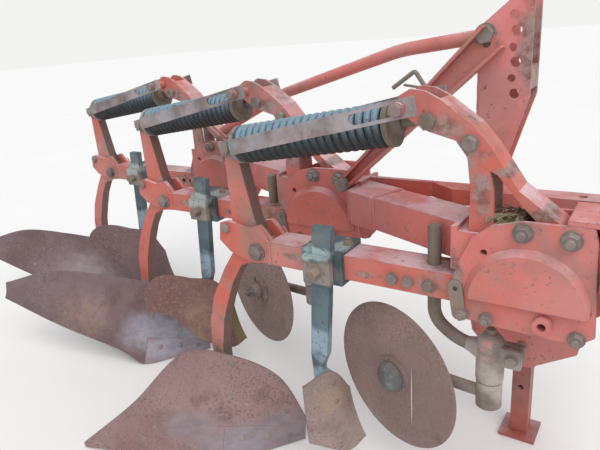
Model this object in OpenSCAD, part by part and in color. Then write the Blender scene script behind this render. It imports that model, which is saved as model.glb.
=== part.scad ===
// Three-furrow moldboard plough with spring-reset legs, parked on its shares and its stand.
// X points to the tractor, Y to the land side (left), Z up. The origin is on the ground
// under the middle of the whole machine. Sizes are in millimetres.

/* [Layout] */
// Distance from one body to the next along the furrow
body_gap = 750; // [720:10:800]
// Width that each body ploughs
furrow_w = 305; // [295:5:330]
// Height of the middle of the body beams above the ground
beam_z = 775; // [765:1:785]

/* [Body beams] */
// Width of a body beam
beam_w = 100; // [90:2:110]
// Height of a body beam
beam_h = 74; // [66:2:80]
// Thickness of the two cheeks that hold the leg's pivot
cheek_t = 18; // [12:1:22]
// Radius of the leg's pivot pin
pivot_r = 20; // [16:1:24]

/* [Main frame] */
// Height of the middle of the main frame above the ground
frame_z = 881; // [878:1:890]
// Height of the main frame's box section
frame_h = 100; // [90:2:106]
// Width of the diagonal links of the main frame
link_w = 120; // [100:2:126]
// Thickness of the bracket plates and flanges
plate_t = 12; // [8:1:14]
// How far the pressed half-round of a bracket plate stands proud
dome_h = 18; // [10:1:24]
// Radius of the pressed half-round
dome_r = 145; // [120:5:150]

/* [Reset spring] */
// Outer radius of the coil spring
spring_r = 59; // [54:1:62]
// Radius of the spring's wire
wire_r = 10; // [8:0.5:11]
// Number of spring turns
spring_turns = 18; // [14:1:20]
// Height of a strap
strap_h = 45; // [38:1:52]
// Thickness of a strap
strap_t = 10; // [8:1:12]
// Distance between the outer faces of a strap pair at the crossbar
strap_spread = 216; // [210:2:230]

/* [Legs] */
// Thickness of the leg casting
leg_t = 45; // [36:1:46]
// Thickness of the moldboard, the shin plate and the share
board_t = 9; // [6:1:12]
// Length of the landside
landside_l = 500; // [400:10:560]
// Height of the landside
landside_h = 95; // [80:5:110]

/* [Skimmers and coulters] */
// Width of a skimmer's stalk
stalk_w = 62; // [50:2:70]
// Thickness of a skimmer's stalk
stalk_t = 25; // [20:1:30]
// Radius of a disc coulter
disc_r = 235; // [200:5:240]
// Thickness of a disc coulter
disc_t = 6; // [4:1:8]
// Radius of the coulter's stem
stem_r = 16.5; // [14:0.5:20]

/* [Headstock] */
// Distance between the shoulders of the two lower hitch pins
hitch_w = 825; // [800:5:870]
// Radius of a lower hitch pin
hitch_pin_r = 14; // [11:0.5:18]
// Radius of a top-link hole
toplink_r = 13; // [11:0.5:14]
// Clear width between the mast plates
mast_gap = 74; // [66:2:80]
// Side of the parking stand's leg
stand_w = 58; // [50:2:62]
// Clearance between pieces that touch
fit = 0.3; // [0.2:0.05:0.5]

/* [Hidden] */
$fn = 48;

// Colours seen on the machine
red_c = [0.62, 0.23, 0.14];
rust_c = [0.42, 0.28, 0.20];
teal_c = [0.28, 0.42, 0.40];
steel_c = [0.45, 0.42, 0.40];
grey_c = [0.38, 0.36, 0.31];

// Body beam
beam_x0 = -355;
beam_x1 = 400;
beam_z0 = beam_z - beam_h / 2;
beam_z1 = beam_z + beam_h / 2;
cheek_y = leg_t / 2 + 1.5;
pivot_x = -408;
pivot_z = beam_z - 7;
hub_r = 45;
stop_r = 13;
stop_z = pivot_z + 65;
// The stop bolt touches the lever's rear edge
stop_x = pivot_x - 107 - stop_r - fit;
stem_x = 162;

// Main frame
frame_z0 = frame_z - frame_h / 2;
frame_z1 = frame_z + frame_h / 2;
plate_y = beam_w / 2 + 2;
plate_out = plate_y + plate_t;
// Plane of the rear flange and of the front plate of a bracket
flange_x = 222;
flange_t = 16;
front_x = 558;
front_t = 14;
flange_top = frame_z1 + 12;
flange_low = frame_z0 - 2;
hub_x = 448;
link_a = atan2(furrow_w, -body_gap);
// Where the first link's middle line crosses the rear flange of bracket 1
link_y = 71;

// Spring linkage: the lever's top pin and the crossbar that the straps run to
lever_x = -490;
lever_z = beam_z + 323;
lever_pin_r = 12;
cross_x = 114;
cross_z = beam_z + 456;
cross_r = 16;
cross_pin_r = 9;
strap_a = atan2(cross_z - lever_z, cross_x - lever_x);
strap_l = norm([cross_x - lever_x, cross_z - lever_z]);
// The spring's middle line leaves the lever's top pin at this slope
spring_a = 8.4;
cap_t = 14;
cap_gap = 30;
spring_x0 = cap_gap + cap_t;
spring_x1 = 540;
rod_eye_x = 656;
slide_travel = 122;
// Play of the crossbar's pins in the straps' slots, for the strap's changing slope
slot_play = 4.8;

// Coulter: the swivel's upright axis, and the disc's centre beside the trailing arm
swivel_x = 316;
swivel_z = 500;
arm_end = [50, 96];
disc_z = 405;
trail_a = atan2(arm_end[1], arm_end[0] - swivel_x);
disc_off = 73;
arm_boss = 20;
disc_c = arm_end + disc_off * [-sin(180 - trail_a), -cos(180 - trail_a)];

// Headstock, mast, rail and stand
tube_x = front_x + front_t + fit;
tube_w = 100;
tube_z0 = 795;
tube_z1 = 895;
tube_y0 = -64;
tube_y1 = 644;
mast_t = 12;
hitch_x = tube_x + 68;
hitch_y = furrow_w - plate_out + mast_t + mast_gap / 2;
hitch_z = 715;
hitch_pin_l = 90;
rail_z0 = tube_z1 + fit;
rail_z1 = 942;
mast_y0 = furrow_w - plate_out;
mast_y1 = mast_y0 + mast_gap + 2 * mast_t;
rail_y0 = mast_y0 + mast_t + fit;
rail_y1 = mast_y1 - mast_t - fit;
mast_x0 = 190;
mast_x1 = 324;
toplink_x = 281;
stand_x = 316;
stand_y = 452;
stand_gap = 0.6;
sleeve_t = 10;

// Outline of the moldboard's tail, the machine's rear and furrow-side limits
tail_x = -1292;
tail_y = -402;
// The middle of the machine, which the origin lies under
lug_reach = 38;
mid_x = (hitch_x + lug_reach + tail_x - 2 * body_gap) / 2;
mid_y = (hitch_y + hitch_w / 2 + hitch_pin_l + tail_y) / 2;

// Moves a piece of body n (1, 2 or 3) to its place
module at_body(n) {
  translate([-mid_x - (n - 1) * body_gap, -mid_y + (n - 1) * furrow_w, 0]) children();
}

// Moves a piece of the frame to its place
module at_frame() {
  translate([-mid_x, -mid_y, 0]) children();
}

// Upright plate: an outline in X and Z, from y0 to y1
module side_plate(y0, y1) {
  translate([0, y1, 0]) rotate([90, 0, 0]) linear_extrude(y1 - y0) children();
}

// Round bar along Y
module cross_rod(x, z, r, y0, y1) {
  translate([x, y1, z]) rotate([90, 0, 0]) cylinder(h = y1 - y0, r = r);
}

// Round bar from a to b
module bar(a, b, r) {
  d = b - a;
  translate(a) rotate([0, acos(d[2] / norm(d)), atan2(d[1], d[0])])
    cylinder(h = norm(d), r = r);
}

// Round bar along a list of points, with a slightly upset ball at each bend
module bent_bar(path, r) {
  upset = 0.8;
  for (i = [1 : len(path) - 1]) bar(path[i - 1], path[i], r);
  for (i = [1 : len(path) - 2]) translate(path[i]) sphere(r = r + upset);
}

// A path with each bend rounded over the length cut before and after it
function rounded(path, cut) =
  let (last = len(path) - 1)
  [for (i = [0 : last]) each i == 0 || i == last ? [path[i]] :
    let (a = path[i] + cut * unit(path[i - 1] - path[i]), b = path[i] + cut * unit(path[i + 1] - path[i]))
    [for (f = [0 : 0.25 : 1]) a * (1 - f) * (1 - f) + path[i] * 2 * f * (1 - f) + b * f * f]];

// Round bar swept along a path that isn't upright, with smooth bends
module swept_bar(path, r, cut) {
  sides = 24;
  pts = rounded(path, cut);
  last = len(pts) - 1;
  rings = [for (i = [0 : last], k = [0 : sides - 1])
    let (way = unit(pts[min(i + 1, last)] - pts[max(i - 1, 0)]), across = unit(cross(way, [0, 0, 1])),
      a = 360 * k / sides)
    pts[i] + r * (across * cos(a) + cross(across, way) * sin(a))];
  polyhedron(points = rings, faces = concat(
    [[for (k = [sides - 1 : -1 : 0]) k]],
    [[for (k = [0 : sides - 1]) last * sides + k]],
    [for (i = [0 : last - 1], k = [0 : sides - 1])
      [i * sides + k, i * sides + (k + 1) % sides, (i + 1) * sides + (k + 1) % sides,
        (i + 1) * sides + k]]));
}

// Moves to the lever's top pin, with X along a line at slope a
module at_lever_pin(a) {
  translate([lever_x, 0, lever_z]) rotate([0, -a, 0]) children();
}

// Side plates, core and flanges that clamp a body beam to the main frame
bracket_edge = [[246, 82], [276, 148], [320, 184], [391, 202], [465, 203], [535, 203],
  [543, 172], [556, -52], [521, -80], [354, -77], [246, -71], [228, -25], [227, 17]];

module bracket(n) {
  color(red_c) at_body(n) difference() {
    union() {
      for (s = [-1, 1])
        side_plate(s > 0 ? plate_y : -plate_out, s > 0 ? plate_out : -plate_y)
          translate([0, beam_z]) polygon(bracket_edge);
      // Core between the plates, at the height of the main frame
      translate([flange_x + flange_t + 12, -plate_y, frame_z0])
        cube([front_x - flange_x - flange_t - 12, 2 * plate_y, frame_h]);
      pressed_dome(1);
      pressed_dome(-1);
      // Hollow hub under the front of the beam
      cross_rod(hub_x, beam_z - 39, 21, -plate_out - 25, plate_out + 25);
      if (n < 3) rear_flange();
      front_flange(n);
    }
    cross_rod(hub_x, beam_z - 39, 10, -plate_out - 26, plate_out + 26);
    for (s = [-1, 1]) {
      cross_rod(306, beam_z + 115, 8, s * 70 - 30, s * 70 + 30);
    }
  }
}
// Half-round pressing on the outer face of a bracket plate
module pressed_dome(s) {
  intersection() {
    translate([405, s * (plate_out - 1), beam_z - 5]) rotate([s * -90, 0, 0])
      cylinder(h = dome_h + 1, r1 = dome_r, r2 = dome_r - 16, $fn = 64);
    translate([252, s > 0 ? 0 : -plate_out - 40, beam_z - 5])
      cube([290, plate_out + 40, dome_r + 20]);
  }
}

// Upright flange that the next diagonal link starts from
module rear_flange() {
  translate([flange_x, -plate_y, flange_low])
    cube([flange_t, plate_y + 140, flange_top - flange_low]);
  translate([flange_x + flange_t - 1, -plate_y, frame_z0])
    cube([14, 2 * plate_y, frame_h]);
}

// Upright plate across the front of a bracket; the brace passes over its lower near half
module front_flange(n) {
  near_y = n == 1 ? -plate_out - 20 : -plate_out - 70;
  translate([front_x, near_y, flange_low])
    cube([front_t, 65 - near_y, frame_z1 - flange_low]);
  translate([front_x, -plate_out + 1, flange_low])
    cube([front_t, 65 + plate_out - 1, flange_top - flange_low]);
  translate([520, -plate_y - 1, frame_z0]) cube([front_x - 519, 2 * plate_y + 2, frame_h]);
}

// Beam of one body, with the two cheeks that hold the pivot pin and the leg's stop
cheek_edge = [[-562, 13], [-552, 73], [-520, 82], [-452, 68], [-391, 82], [-372, 64],
  [-350, 37], [-350, -37], [-420, -48], [-470, -40], [-520, -23]];

module beam(n) {
  color(red_c) at_body(n) difference() {
    union() {
      translate([beam_x0, -beam_w / 2, beam_z0])
        cube([beam_x1 - beam_x0, beam_w, beam_h]);
      for (s = [-1, 1])
        side_plate(s > 0 ? cheek_y : -cheek_y - cheek_t, s > 0 ? cheek_y + cheek_t : -cheek_y)
          translate([0, beam_z]) polygon(cheek_edge);
      cross_rod(pivot_x, pivot_z, pivot_r, -cheek_y - cheek_t - 12, cheek_y + cheek_t + 12);
      cross_rod(stop_x, stop_z, stop_r, -cheek_y - cheek_t - 8, cheek_y + cheek_t + 8);
    }
    if (n < 3)
      translate([stem_x, 0, beam_z0 - 1]) cylinder(h = beam_h + 2, r = stem_r + fit);
    if (n == 3) for (x = [63, 108, 165, 210]) cross_rod(x, beam_z - 5, 10, -60, 60);
  }
}
// Diagonal box link from bracket n to bracket n + 1, with the collar at its rear end
module link(n) {
  x_front = flange_x - fit;
  x_rear = front_x + front_t - body_gap + fit;
  color(red_c) at_body(n) intersection() {
    union() {
      translate([flange_x, link_y, frame_z0]) rotate([0, 0, link_a])
        translate([-200, -link_w / 2, 0]) cube([900, link_w, frame_h]);
      translate([flange_x, link_y, frame_z0 - 6]) rotate([0, 0, link_a])
        translate([300, -link_w / 2 - 7, 0]) cube([400, link_w + 14, frame_h + 6]);
    }
    translate([x_rear, -200, frame_z0 - 50])
      cube([x_front - x_rear, 800, frame_h + 100]);
  }
}

// Spring arm: two side plates joined by a curved flange, with the crossbar at its head
arm_top = [[86, 478], [114, 494], [150, 489], [185, 471], [267, 410], [310, 360],
  [373, 266], [461, 201], [530, frame_z1 + fit - beam_z]];
arm_low = [[455, frame_z1 + fit - beam_z], [378, 236], [325, 300], [308, 308], [318, 262],
  [322, frame_z1 + fit - beam_z], [262, frame_z1 + fit - beam_z], [264, 260], [255, 337],
  [227, 375], [161, 394], [130, 410], [92, 435], [80, 456]];
arm_y = 30;
arm_t = 12;
arm_flange_t = 9;

module arm(n) {
  color(red_c) at_body(n) difference() {
    union() {
      for (s = [-1, 1])
        side_plate(s > 0 ? arm_y : -arm_y - arm_t, s > 0 ? arm_y + arm_t : -arm_y)
          translate([0, beam_z]) polygon(concat(arm_top, arm_low));
      side_plate(-arm_y - arm_t, arm_y + arm_t) translate([0, beam_z])
        polygon(concat([for (p = arm_top) if (p[0] > 160) p],
          [for (i = [len(arm_top) - 1 : -1 : 3]) arm_top[i] - [arm_flange_t, i < 8 ? arm_flange_t : 0]]));
      cross_rod(cross_x, cross_z, cross_r, -strap_in + 1, strap_in - 1);
      cross_rod(cross_x, cross_z, cross_pin_r, -strap_spread / 2 - 18, strap_spread / 2 + 18);
      for (s = [-1, 1])
        cross_rod(cross_x, cross_z, 17, s > 0 ? strap_spread / 2 + 1 : -strap_spread / 2 - 13,
          s > 0 ? strap_spread / 2 + 13 : -strap_spread / 2 - 1);
    }
    rod_eye(lever_pin_r + fit, 60);
    cross_rod(261, beam_z + 371, 9, -60, -20);
    cross_rod(261, beam_z + 371, 9, 20, 60);
  }
}
strap_in = strap_spread / 2 - strap_t;

// The bolt that carries the guide rod's eye
module rod_eye(r, half) {
  at_lever_pin(spring_a) cross_rod(rod_eye_x, 0, r, -half, half);
}

// Guide rod with its eye and the front spring cap
module rod(n) {
  color(grey_c) at_body(n) {
    at_lever_pin(spring_a) {
      difference() {
        cross_rod(rod_eye_x, 0, 24, -arm_y + fit, arm_y - fit);
        cross_rod(rod_eye_x, 0, lever_pin_r - 1, -arm_y, arm_y);
      }
      translate([spring_x0 + 190, 0, 0]) rotate([0, 90, 0])
        cylinder(h = rod_eye_x - 20 - spring_x0 - 190, r = 13);
      translate([spring_x1, 0, 0]) rotate([0, 90, 0]) {
        cylinder(h = cap_t, r = spring_r);
        translate([0, 0, -26]) cylinder(h = 27, r = spring_r - 2 * wire_r - 3);
        translate([0, 0, cap_t - 1]) cylinder(h = 22, r1 = 34, r2 = 22);
      }
    }
    rod_eye(lever_pin_r, arm_y + arm_t + 14);
  }
}

// Coil spring between the two caps: a six-sided wire swept along a helix
spring_seg = 10;
wire_n = 6;
coil_r = spring_r - wire_r;
coil_x0 = spring_x0 + wire_r + fit;
coil_x1 = spring_x1 - wire_r - fit;
function coil_point(k, j) =
  let (a = 360 * k / spring_seg, w = 360 * j / wire_n, r = coil_r + wire_r * cos(w),
    end_turns = 1, total = spring_turns, t = k / spring_seg,
    f = t < end_turns ? t * 0.8 : t > total - end_turns ? total - 1.4 - (total - t) * 0.8 + 1.2 - 0.2
      : end_turns * 0.8 + (t - end_turns) * (total - 0.4 - 2 * 0.8) / (total - 2 * end_turns),
    x = coil_x0 + f * (coil_x1 - coil_x0) / (total - 0.4) + wire_r * sin(w))
  [x, r * cos(a), r * sin(a)];

module spring(n) {
  rings = spring_turns * spring_seg;
  color(teal_c) at_body(n) at_lever_pin(spring_a)
    polyhedron(
      points = [for (k = [0 : rings], j = [0 : wire_n - 1]) coil_point(k, j)],
      faces = concat(
        [[for (j = [wire_n - 1 : -1 : 0]) j]],
        [[for (j = [0 : wire_n - 1]) rings * wire_n + j]],
        [for (k = [0 : rings - 1], j = [0 : wire_n - 1])
          [k * wire_n + j, k * wire_n + (j + 1) % wire_n, (k + 1) * wire_n + (j + 1) % wire_n,
            (k + 1) * wire_n + j]]));
}

// Strap pair with the rear spring cap; its front slots slide along the crossbar's ends
strap_root = leg_t / 2 + 3.5;
strap_path = [[-30, 0], [8, 0], [70, 46], [130, 49], [300, 53], [390, 58], [470, 0], [660, 0]];

// Half width of the strap pair's inner face at each point of the path
function strap_half(i) =
  i < 2 ? strap_root : i < 6 ? strap_root + strap_path[i][1] : strap_in;

module strap(n) {
  inner = [for (i = [0 : len(strap_path) - 1]) [strap_path[i][0], strap_half(i)]];
  outer = [for (i = [len(strap_path) - 1 : -1 : 0]) [strap_path[i][0], strap_half(i) + strap_t]];
  color(grey_c) at_body(n) {
    difference() {
      at_lever_pin(strap_a) for (s = [0, 1]) mirror([0, s, 0])
        translate([0, 0, -strap_h / 2]) linear_extrude(strap_h) polygon(concat(inner, outer));
      at_lever_pin(strap_a) cross_rod(0, 0, lever_pin_r + fit, -80, 80);
      at_lever_pin(strap_a) for (s = [-1, 1]) strap_slot(s * (strap_in + strap_t / 2));
      at_lever_pin(spring_a) translate([cap_gap - 80, 0, 0]) rotate([0, 90, 0])
        cylinder(h = 79, r = leg_t / 2 + 3);
    }
    at_lever_pin(spring_a) translate([cap_gap, 0, 0]) rotate([0, 90, 0]) {
      cylinder(h = cap_t, r = spring_r - 1);
      translate([0, 0, cap_t - 1]) cylinder(h = 27, r = spring_r - 2 * wire_r - 3);
    }
  }
}

// Long slot through a strap's front end, centred across the strap at y
module strap_slot(y) {
  half = cross_pin_r + slot_play;
  side_plate(y - strap_t, y + strap_t) {
    translate([strap_l - slide_travel, -half]) square([slide_travel, 2 * half]);
    translate([strap_l - slide_travel, 0]) circle(half);
    translate([strap_l, 0]) circle(half);
  }
}

// Leg casting: lever above the pivot, curved leg below it
leg_end = -500;
leg_edge = [[-107, 95], [-104, 32], [-120, -28], [-171, -98], [-240, -218], [-274, -324],
  [-283, -430], [-284, leg_end], [-231, leg_end], [-228, -420], [-205, -307], [-177, -232],
  [-139, -144], [-91, -71], [-20, -40], [34, -12], [36, 24], [4, 62], [-12, 103]];

module leg(n) {
  lever = [lever_x - pivot_x, lever_z - pivot_z];
  color(grey_c) at_body(n) difference() {
    union() {
      side_plate(-leg_t / 2, leg_t / 2) translate([pivot_x, pivot_z]) {
        circle(hub_r);
        polygon(leg_edge);
        polygon([[-107, 94], lever + [-23, 4], lever + [23, 4], [-12, 102]]);
        translate(lever) circle(24);
      }
      cross_rod(lever_x, lever_z, lever_pin_r, -strap_root - strap_t - 12,
        strap_root + strap_t + 12);
    }
    cross_rod(pivot_x, pivot_z, pivot_r + fit, -leg_t, leg_t);
  }
}

// Surface that the share, the shin plate and the moldboard share.
// Each row is [t, lower edge point, upper edge point], from the shin to the tail.
body_rows = [
  [0.00, [-342, 35, 3.5], [-334, 35, 100]],
  [0.25, [-425, -75, 5], [-440, 28, 250]],
  [0.50, [-530, -215, 8], [-600, -60, 345]],
  [0.62, [-640, -257, 76], [-735, -165, 400]],
  [0.80, [-930, -350, 180], [-965, -302, 440]],
  [1.00, [tail_x + 0.9, tail_y + 2, 272], [-1235, tail_y, 368]]];
// The first body's moldboard hangs down: its upper edge falls straight to the ground behind
hanging_tail = [
  [0.62, [-650, -262, 8], [-712, -150, 368]],
  [0.80, [-835, -328, 8], [-856, -290, 200]],
  [1.00, [-1046, tail_y + 0.4, 7], [-1052, tail_y, 24]]];
function rows_of(n) = n == 1 ? concat([for (i = [0 : 2]) body_rows[i]], hanging_tail) : body_rows;
// How far the middle of a section hangs back towards its upper edge, and how far it rises
hang_x = 0.72;
rise_z = 0.38;

function mix(a, b, f) = a + (b - a) * f;
function row_at(rows, t, i = 0) = i >= len(rows) - 2 || t < rows[i + 1][0] ? i : row_at(rows, t, i + 1);
// Smooth curve through one column of the rows
function guide(rows, t, c) =
  let (i = row_at(rows, t), f = (t - rows[i][0]) / (rows[i + 1][0] - rows[i][0]),
    p0 = rows[max(i - 1, 0)], p1 = rows[i], p2 = rows[i + 1], p3 = rows[min(i + 2, len(rows) - 1)],
    h = p2[0] - p1[0], m1 = (p2[c] - p0[c]) / (p2[0] - p0[0]) * h,
    m2 = (p3[c] - p1[c]) / (p3[0] - p1[0]) * h, f2 = f * f, f3 = f2 * f)
  p1[c] * (2 * f3 - 3 * f2 + 1) + m1 * (f3 - 2 * f2 + f) + p2[c] * (3 * f2 - 2 * f3) + m2 * (f3 - f2);
function surf(rows, t, v) =
  let (a = guide(rows, t, 1), b = guide(rows, t, 2),
    m = [mix(a[0], b[0], hang_x), mix(a[1], b[1], hang_x), mix(a[2], b[2], rise_z)])
  a * (1 - v) * (1 - v) + m * 2 * v * (1 - v) + b * v * v;
function unit(p) = p / norm(p);
// Backward normal of the surface
function back(rows, t, v) =
  let (e = 0.01, t0 = max(t - e, 0), t1 = min(t + e, 1), v0 = max(v - e, 0), v1 = min(v + e, 1))
  unit(cross(surf(rows, t1, v) - surf(rows, t0, v), surf(rows, t, v1) - surf(rows, t, v0)));

// Shell between two offsets behind the surface. ts is the list of columns, and each column
// runs from low(t) to high(t); edge makes the lower edge thin.
module shell(rows, ts, vlow, vhigh, nv, d0, d1, edge = 0) {
  nt = len(ts);
  row = nv + 1;
  vs = [for (i = [0 : nt - 1], j = [0 : nv]) mix(vlow[i], vhigh[i], j / nv)];
  front = [for (i = [0 : nt - 1], j = [0 : nv])
    let (v = vs[i * row + j]) surf(rows, ts[i], v) + d0 * back(rows, ts[i], v)];
  rear = [for (i = [0 : nt - 1], j = [0 : nv])
    let (v = vs[i * row + j], d = edge > 0 ? min(d1, edge + v * 60) : d1)
      surf(rows, ts[i], v) + d * back(rows, ts[i], v)];
  k = nt * row;
  function quad(a, b, c, d) = [[a, b, c], [a, c, d]];
  faces = [for (i = [0 : nt - 2], j = [0 : nv - 1], f = concat(
      quad(i * row + j, (i + 1) * row + j, (i + 1) * row + j + 1, i * row + j + 1),
      quad(k + i * row + j, k + i * row + j + 1, k + (i + 1) * row + j + 1, k + (i + 1) * row + j)))
    f];
  sides = concat(
    [for (i = [0 : nt - 2], f = concat(
      quad(i * row, k + i * row, k + (i + 1) * row, (i + 1) * row),
      quad(i * row + nv, (i + 1) * row + nv, k + (i + 1) * row + nv, k + i * row + nv))) f],
    [for (j = [0 : nv - 1], f = concat(
      quad(j, j + 1, k + j + 1, k + j),
      quad((nt - 1) * row + j, k + (nt - 1) * row + j, k + (nt - 1) * row + j + 1,
        (nt - 1) * row + j + 1))) f]);
  polyhedron(points = concat(front, rear), faces = concat(faces, sides));
}

// Where the share ends above its cutting edge, and where the shin plate meets the moldboard
seam_v = 0.34;
seam_t = 0.40;
seam_gap = 0.001;
cover_end = seam_t - seam_gap;

module share(n) {
  ts = [for (i = [0 : 8]) 0.5 * i / 8];
  color(steel_c) at_body(n)
    shell(rows_of(n), ts, [for (t = ts) 0], [for (t = ts) seam_v - 3 * seam_gap], 3, 0, board_t, 1);
}

module cover(n) {
  ts = [for (i = [0 : 6]) cover_end * i / 6];
  color(steel_c) at_body(n)
    shell(rows_of(n), ts, [for (t = ts) seam_v], [for (t = ts) 1], 5, 0, board_t);
}

module moldboard(n) {
  ts = concat([seam_t, 0.45, 0.5 + seam_gap * 2, 0.54], [for (i = [1 : 9]) 0.54 + 0.46 * i / 9]);
  low = [for (t = ts) t < 0.53 ? seam_v : 0];
  color(rust_c) at_body(n)
    shell(rows_of(n), ts, low, [for (t = ts) t < 0.97 ? 1 : 0.98], 6, 0, board_t);
}

// Frog: the casting below the leg that carries the share, the boards and the landside
frog_edge = [[-700, 0], [-622, 0], [-575, -50], [-515, -105], [-480, -150], [-458, -235], [-790, -235],
  [-790, -180], [-725, -110]];
frog_top = pivot_z + leg_end - fit;
landside_y = 28;
landside_t = 13;

module frog(n) {
  // Columns and rows of the shin plate that the pad behind it follows
  ts = [for (i = [3 : 6]) cover_end * i / 6];
  pad_top = seam_v + (1 - seam_v) * 3 / 5;
  color(grey_c) at_body(n) {
    side_plate(-leg_t / 2, landside_y) translate([0, frog_top]) polygon(frog_edge);
    difference() {
      shell(rows_of(n), ts, [for (t = ts) seam_v], [for (t = ts) pad_top], 3, board_t + fit, 58);
      translate([-900, landside_y - 2, -50]) cube([800, 200, 700]);
    }
  }
}

module landside(n) {
  color(steel_c) at_body(n) side_plate(landside_y + fit, landside_y + landside_t)
    polygon([[-352 - landside_l, 0], [-390, 0], [-376, 40], [-400, landside_h],
      [-352 - landside_l, landside_h]]);
}

// Skimmer: clamp around the beam with its flat stalk
clamp_x0 = -215;
clamp_x1 = -85;
stalk_y = -beam_w / 2 - 12;
// The board's surface, in rows like those of the moldboard
skim_rows = [
  [0.0, [-70, 8, 150], [-118, 0, 330]],
  [0.5, [-98, -70, 138], [-132, -78, 430]],
  [1.0, [-175, -165, 205], [-196, -150, 395]]];

module skim_stalk(n) {
  z_top = beam_z1 + 90;
  z_low = 350;
  ts = [for (i = [2 : 4]) i / 6];
  color(teal_c) at_body(n) difference() {
    union() {
      translate([clamp_x0, stalk_y - 6, beam_z0 - 16])
        cube([clamp_x1 - clamp_x0, beam_w + 24 - 2, beam_h + 30]);
      side_plate(stalk_y - stalk_t, stalk_y)
        polygon([[-163, z_top], [-163 + stalk_w, z_top], [-140, 490], [-161, 440],
          [-161, z_low], [-192, z_low], [-198, 480]]);
      translate([clamp_x0 + 20, stalk_y - stalk_t - 14, beam_z0 - 6])
        cube([clamp_x1 - clamp_x0 - 40, 20, beam_h + 10]);
      // Saddle that the board is bolted to
      shell(skim_rows, ts, [for (t = ts) 0.6], [for (t = ts) 1], 2, board_t + fit, 36);
    }
    translate([clamp_x0 - 1, -beam_w / 2 - fit, beam_z0 - fit])
      cube([clamp_x1 - clamp_x0 + 2, beam_w + 2 * fit, beam_h + 2 * fit]);
  }
}

// Skimmer board: a small curved board bolted to the front of its stalk's foot
module skim_board(n) {
  ts = [for (i = [0 : 6]) i / 6];
  color(rust_c) at_body(n)
    shell(skim_rows, ts, [for (t = ts) 0], [for (t = ts) 1], 5, 0, board_t);
}

// Coulter stem: through the beam, bent forward to the swivel's housing
module coulter_stem(n) {
  color(grey_c) at_body(n) difference() {
    union() {
      bent_bar([[stem_x, 0, beam_z1 + 106], [stem_x, 0, 650], [228, 0, 600],
        [swivel_x - 20, 0, 590]], stem_r);
      translate([swivel_x, 0, swivel_z]) cylinder(h = 138, r = 36);
      translate([swivel_x, -24, 560]) cube([82, 48, 56]);
    }
    translate([swivel_x, 0, swivel_z - 1]) cylinder(h = 118, r = 15 + fit);
    cross_rod(swivel_x + 58, 588, 9, -60, 60);
  }
}

// Coulter arm: trails behind the swivel and carries the disc's axle
module coulter_arm(n) {
  axle = [-sin(180 - trail_a), -cos(180 - trail_a)];
  color(grey_c) at_body(n) {
    translate([swivel_x, 0, swivel_z - 78]) cylinder(h = 78 - 1, r = 34);
    translate([swivel_x, 0, swivel_z - 10]) cylinder(h = 118, r = 15);
    swept_bar([[swivel_x, 0, swivel_z - 45], [swivel_x - 80, 12, swivel_z - 50],
      [arm_end[0], arm_end[1], disc_z]], 17, 32);
    at_disc() {
      translate([0, 0, disc_off - arm_boss]) cylinder(h = 2 * arm_boss, r = 30);
      translate([0, 0, -34]) cylinder(h = disc_off + 34, r = 12);
    }
  }
}

// Moves to the disc's centre, with Z along its axle towards the arm
module at_disc() {
  translate([disc_c[0], disc_c[1], disc_z]) rotate([0, 0, trail_a - 180]) rotate([-90, 0, 0])
    children();
}

// Disc with its bearing hub and the cap on its near side
module disc(n) {
  color(steel_c) at_body(n) at_disc() difference() {
    union() {
      translate([0, 0, -disc_t / 2]) cylinder(h = disc_t, r = disc_r - 9, $fn = 96);
      rotate_extrude($fn = 96) polygon([[disc_r - 10, -disc_t / 2], [disc_r - 1, -0.6],
        [disc_r, 0], [disc_r - 1, 0.6], [disc_r - 10, disc_t / 2]]);
      translate([0, 0, -26]) cylinder(h = 26 + disc_off - arm_boss - fit, r = 33);
      translate([0, 0, -disc_t / 2 - 7]) cylinder(h = 7 + disc_t + 6, r = 62);
      translate([0, 0, -44]) cylinder(h = 19, r1 = 22, r2 = 32);
    }
    translate([0, 0, -36]) cylinder(h = 120, r = 12 + fit);
  }
}

// Mast: two upright plates with the top-link holes
mast_edge = [[mast_x0, 897], [mast_x0, 1392], [258, 1446], [296, 1478], [mast_x1, 1462],
  [mast_x1, 1212], [267, 1028], [267, 897]];
toplink_z = [1220, 1260, 1300, 1337, 1378, 1417];

module mast() {
  color(red_c) at_frame() difference() {
    union() {
      for (y = [mast_y0, mast_y1 - mast_t]) side_plate(y, y + mast_t) polygon(mast_edge);
      // Rear web and front spacer between the plates
      translate([mast_x0, mast_y0 + 1, 1080]) cube([12, mast_y1 - mast_y0 - 2, 306]);
      translate([mast_x1 - 14, mast_y0 + 1, 1230]) cube([14, mast_y1 - mast_y0 - 2, 60]);
      translate([mast_x0, mast_y0 + 1, rail_z1 + fit]) cube([76, mast_y1 - mast_y0 - 2, 12]);
    }
    for (i = [0 : len(toplink_z) - 1])
      cross_rod(toplink_x + (i % 2 == 0 ? 4 : -4), toplink_z[i], i % 2 == 0 ? toplink_r : 10,
        mast_y0 - 5, mast_y1 + 5);
  }
}

// Brace: a tapering channel from the mast down to the plate of bracket 2
module brace() {
  a = [214, 1350];
  b = [528 - body_gap, 942];
  d = (b - a) / norm(b - a);
  w = [-d[1], d[0]];
  y0 = mast_y0 - fit - mast_t;
  edge = function(s) [a + w * 40 * s - d * 26, b + w * 18 * s + d * 20];
  lip = 9;
  color(red_c) at_frame() difference() {
    union() {
      side_plate(y0, mast_y0 - fit) polygon(concat(edge(1), [for (i = [1, 0]) edge(-1)[i]]));
      for (s = [-1, 1])
        side_plate(y0 - 28, y0 + 1) polygon(concat(edge(s),
          [for (i = [1, 0]) edge(s)[i] - w * lip * s]));
    }
    cross_rod(a[0], a[1], 10, y0 - 40, mast_y0 + 5);
    cross_rod(b[0], b[1], 9, y0 - 40, mast_y0 + 5);
  }
}

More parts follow.
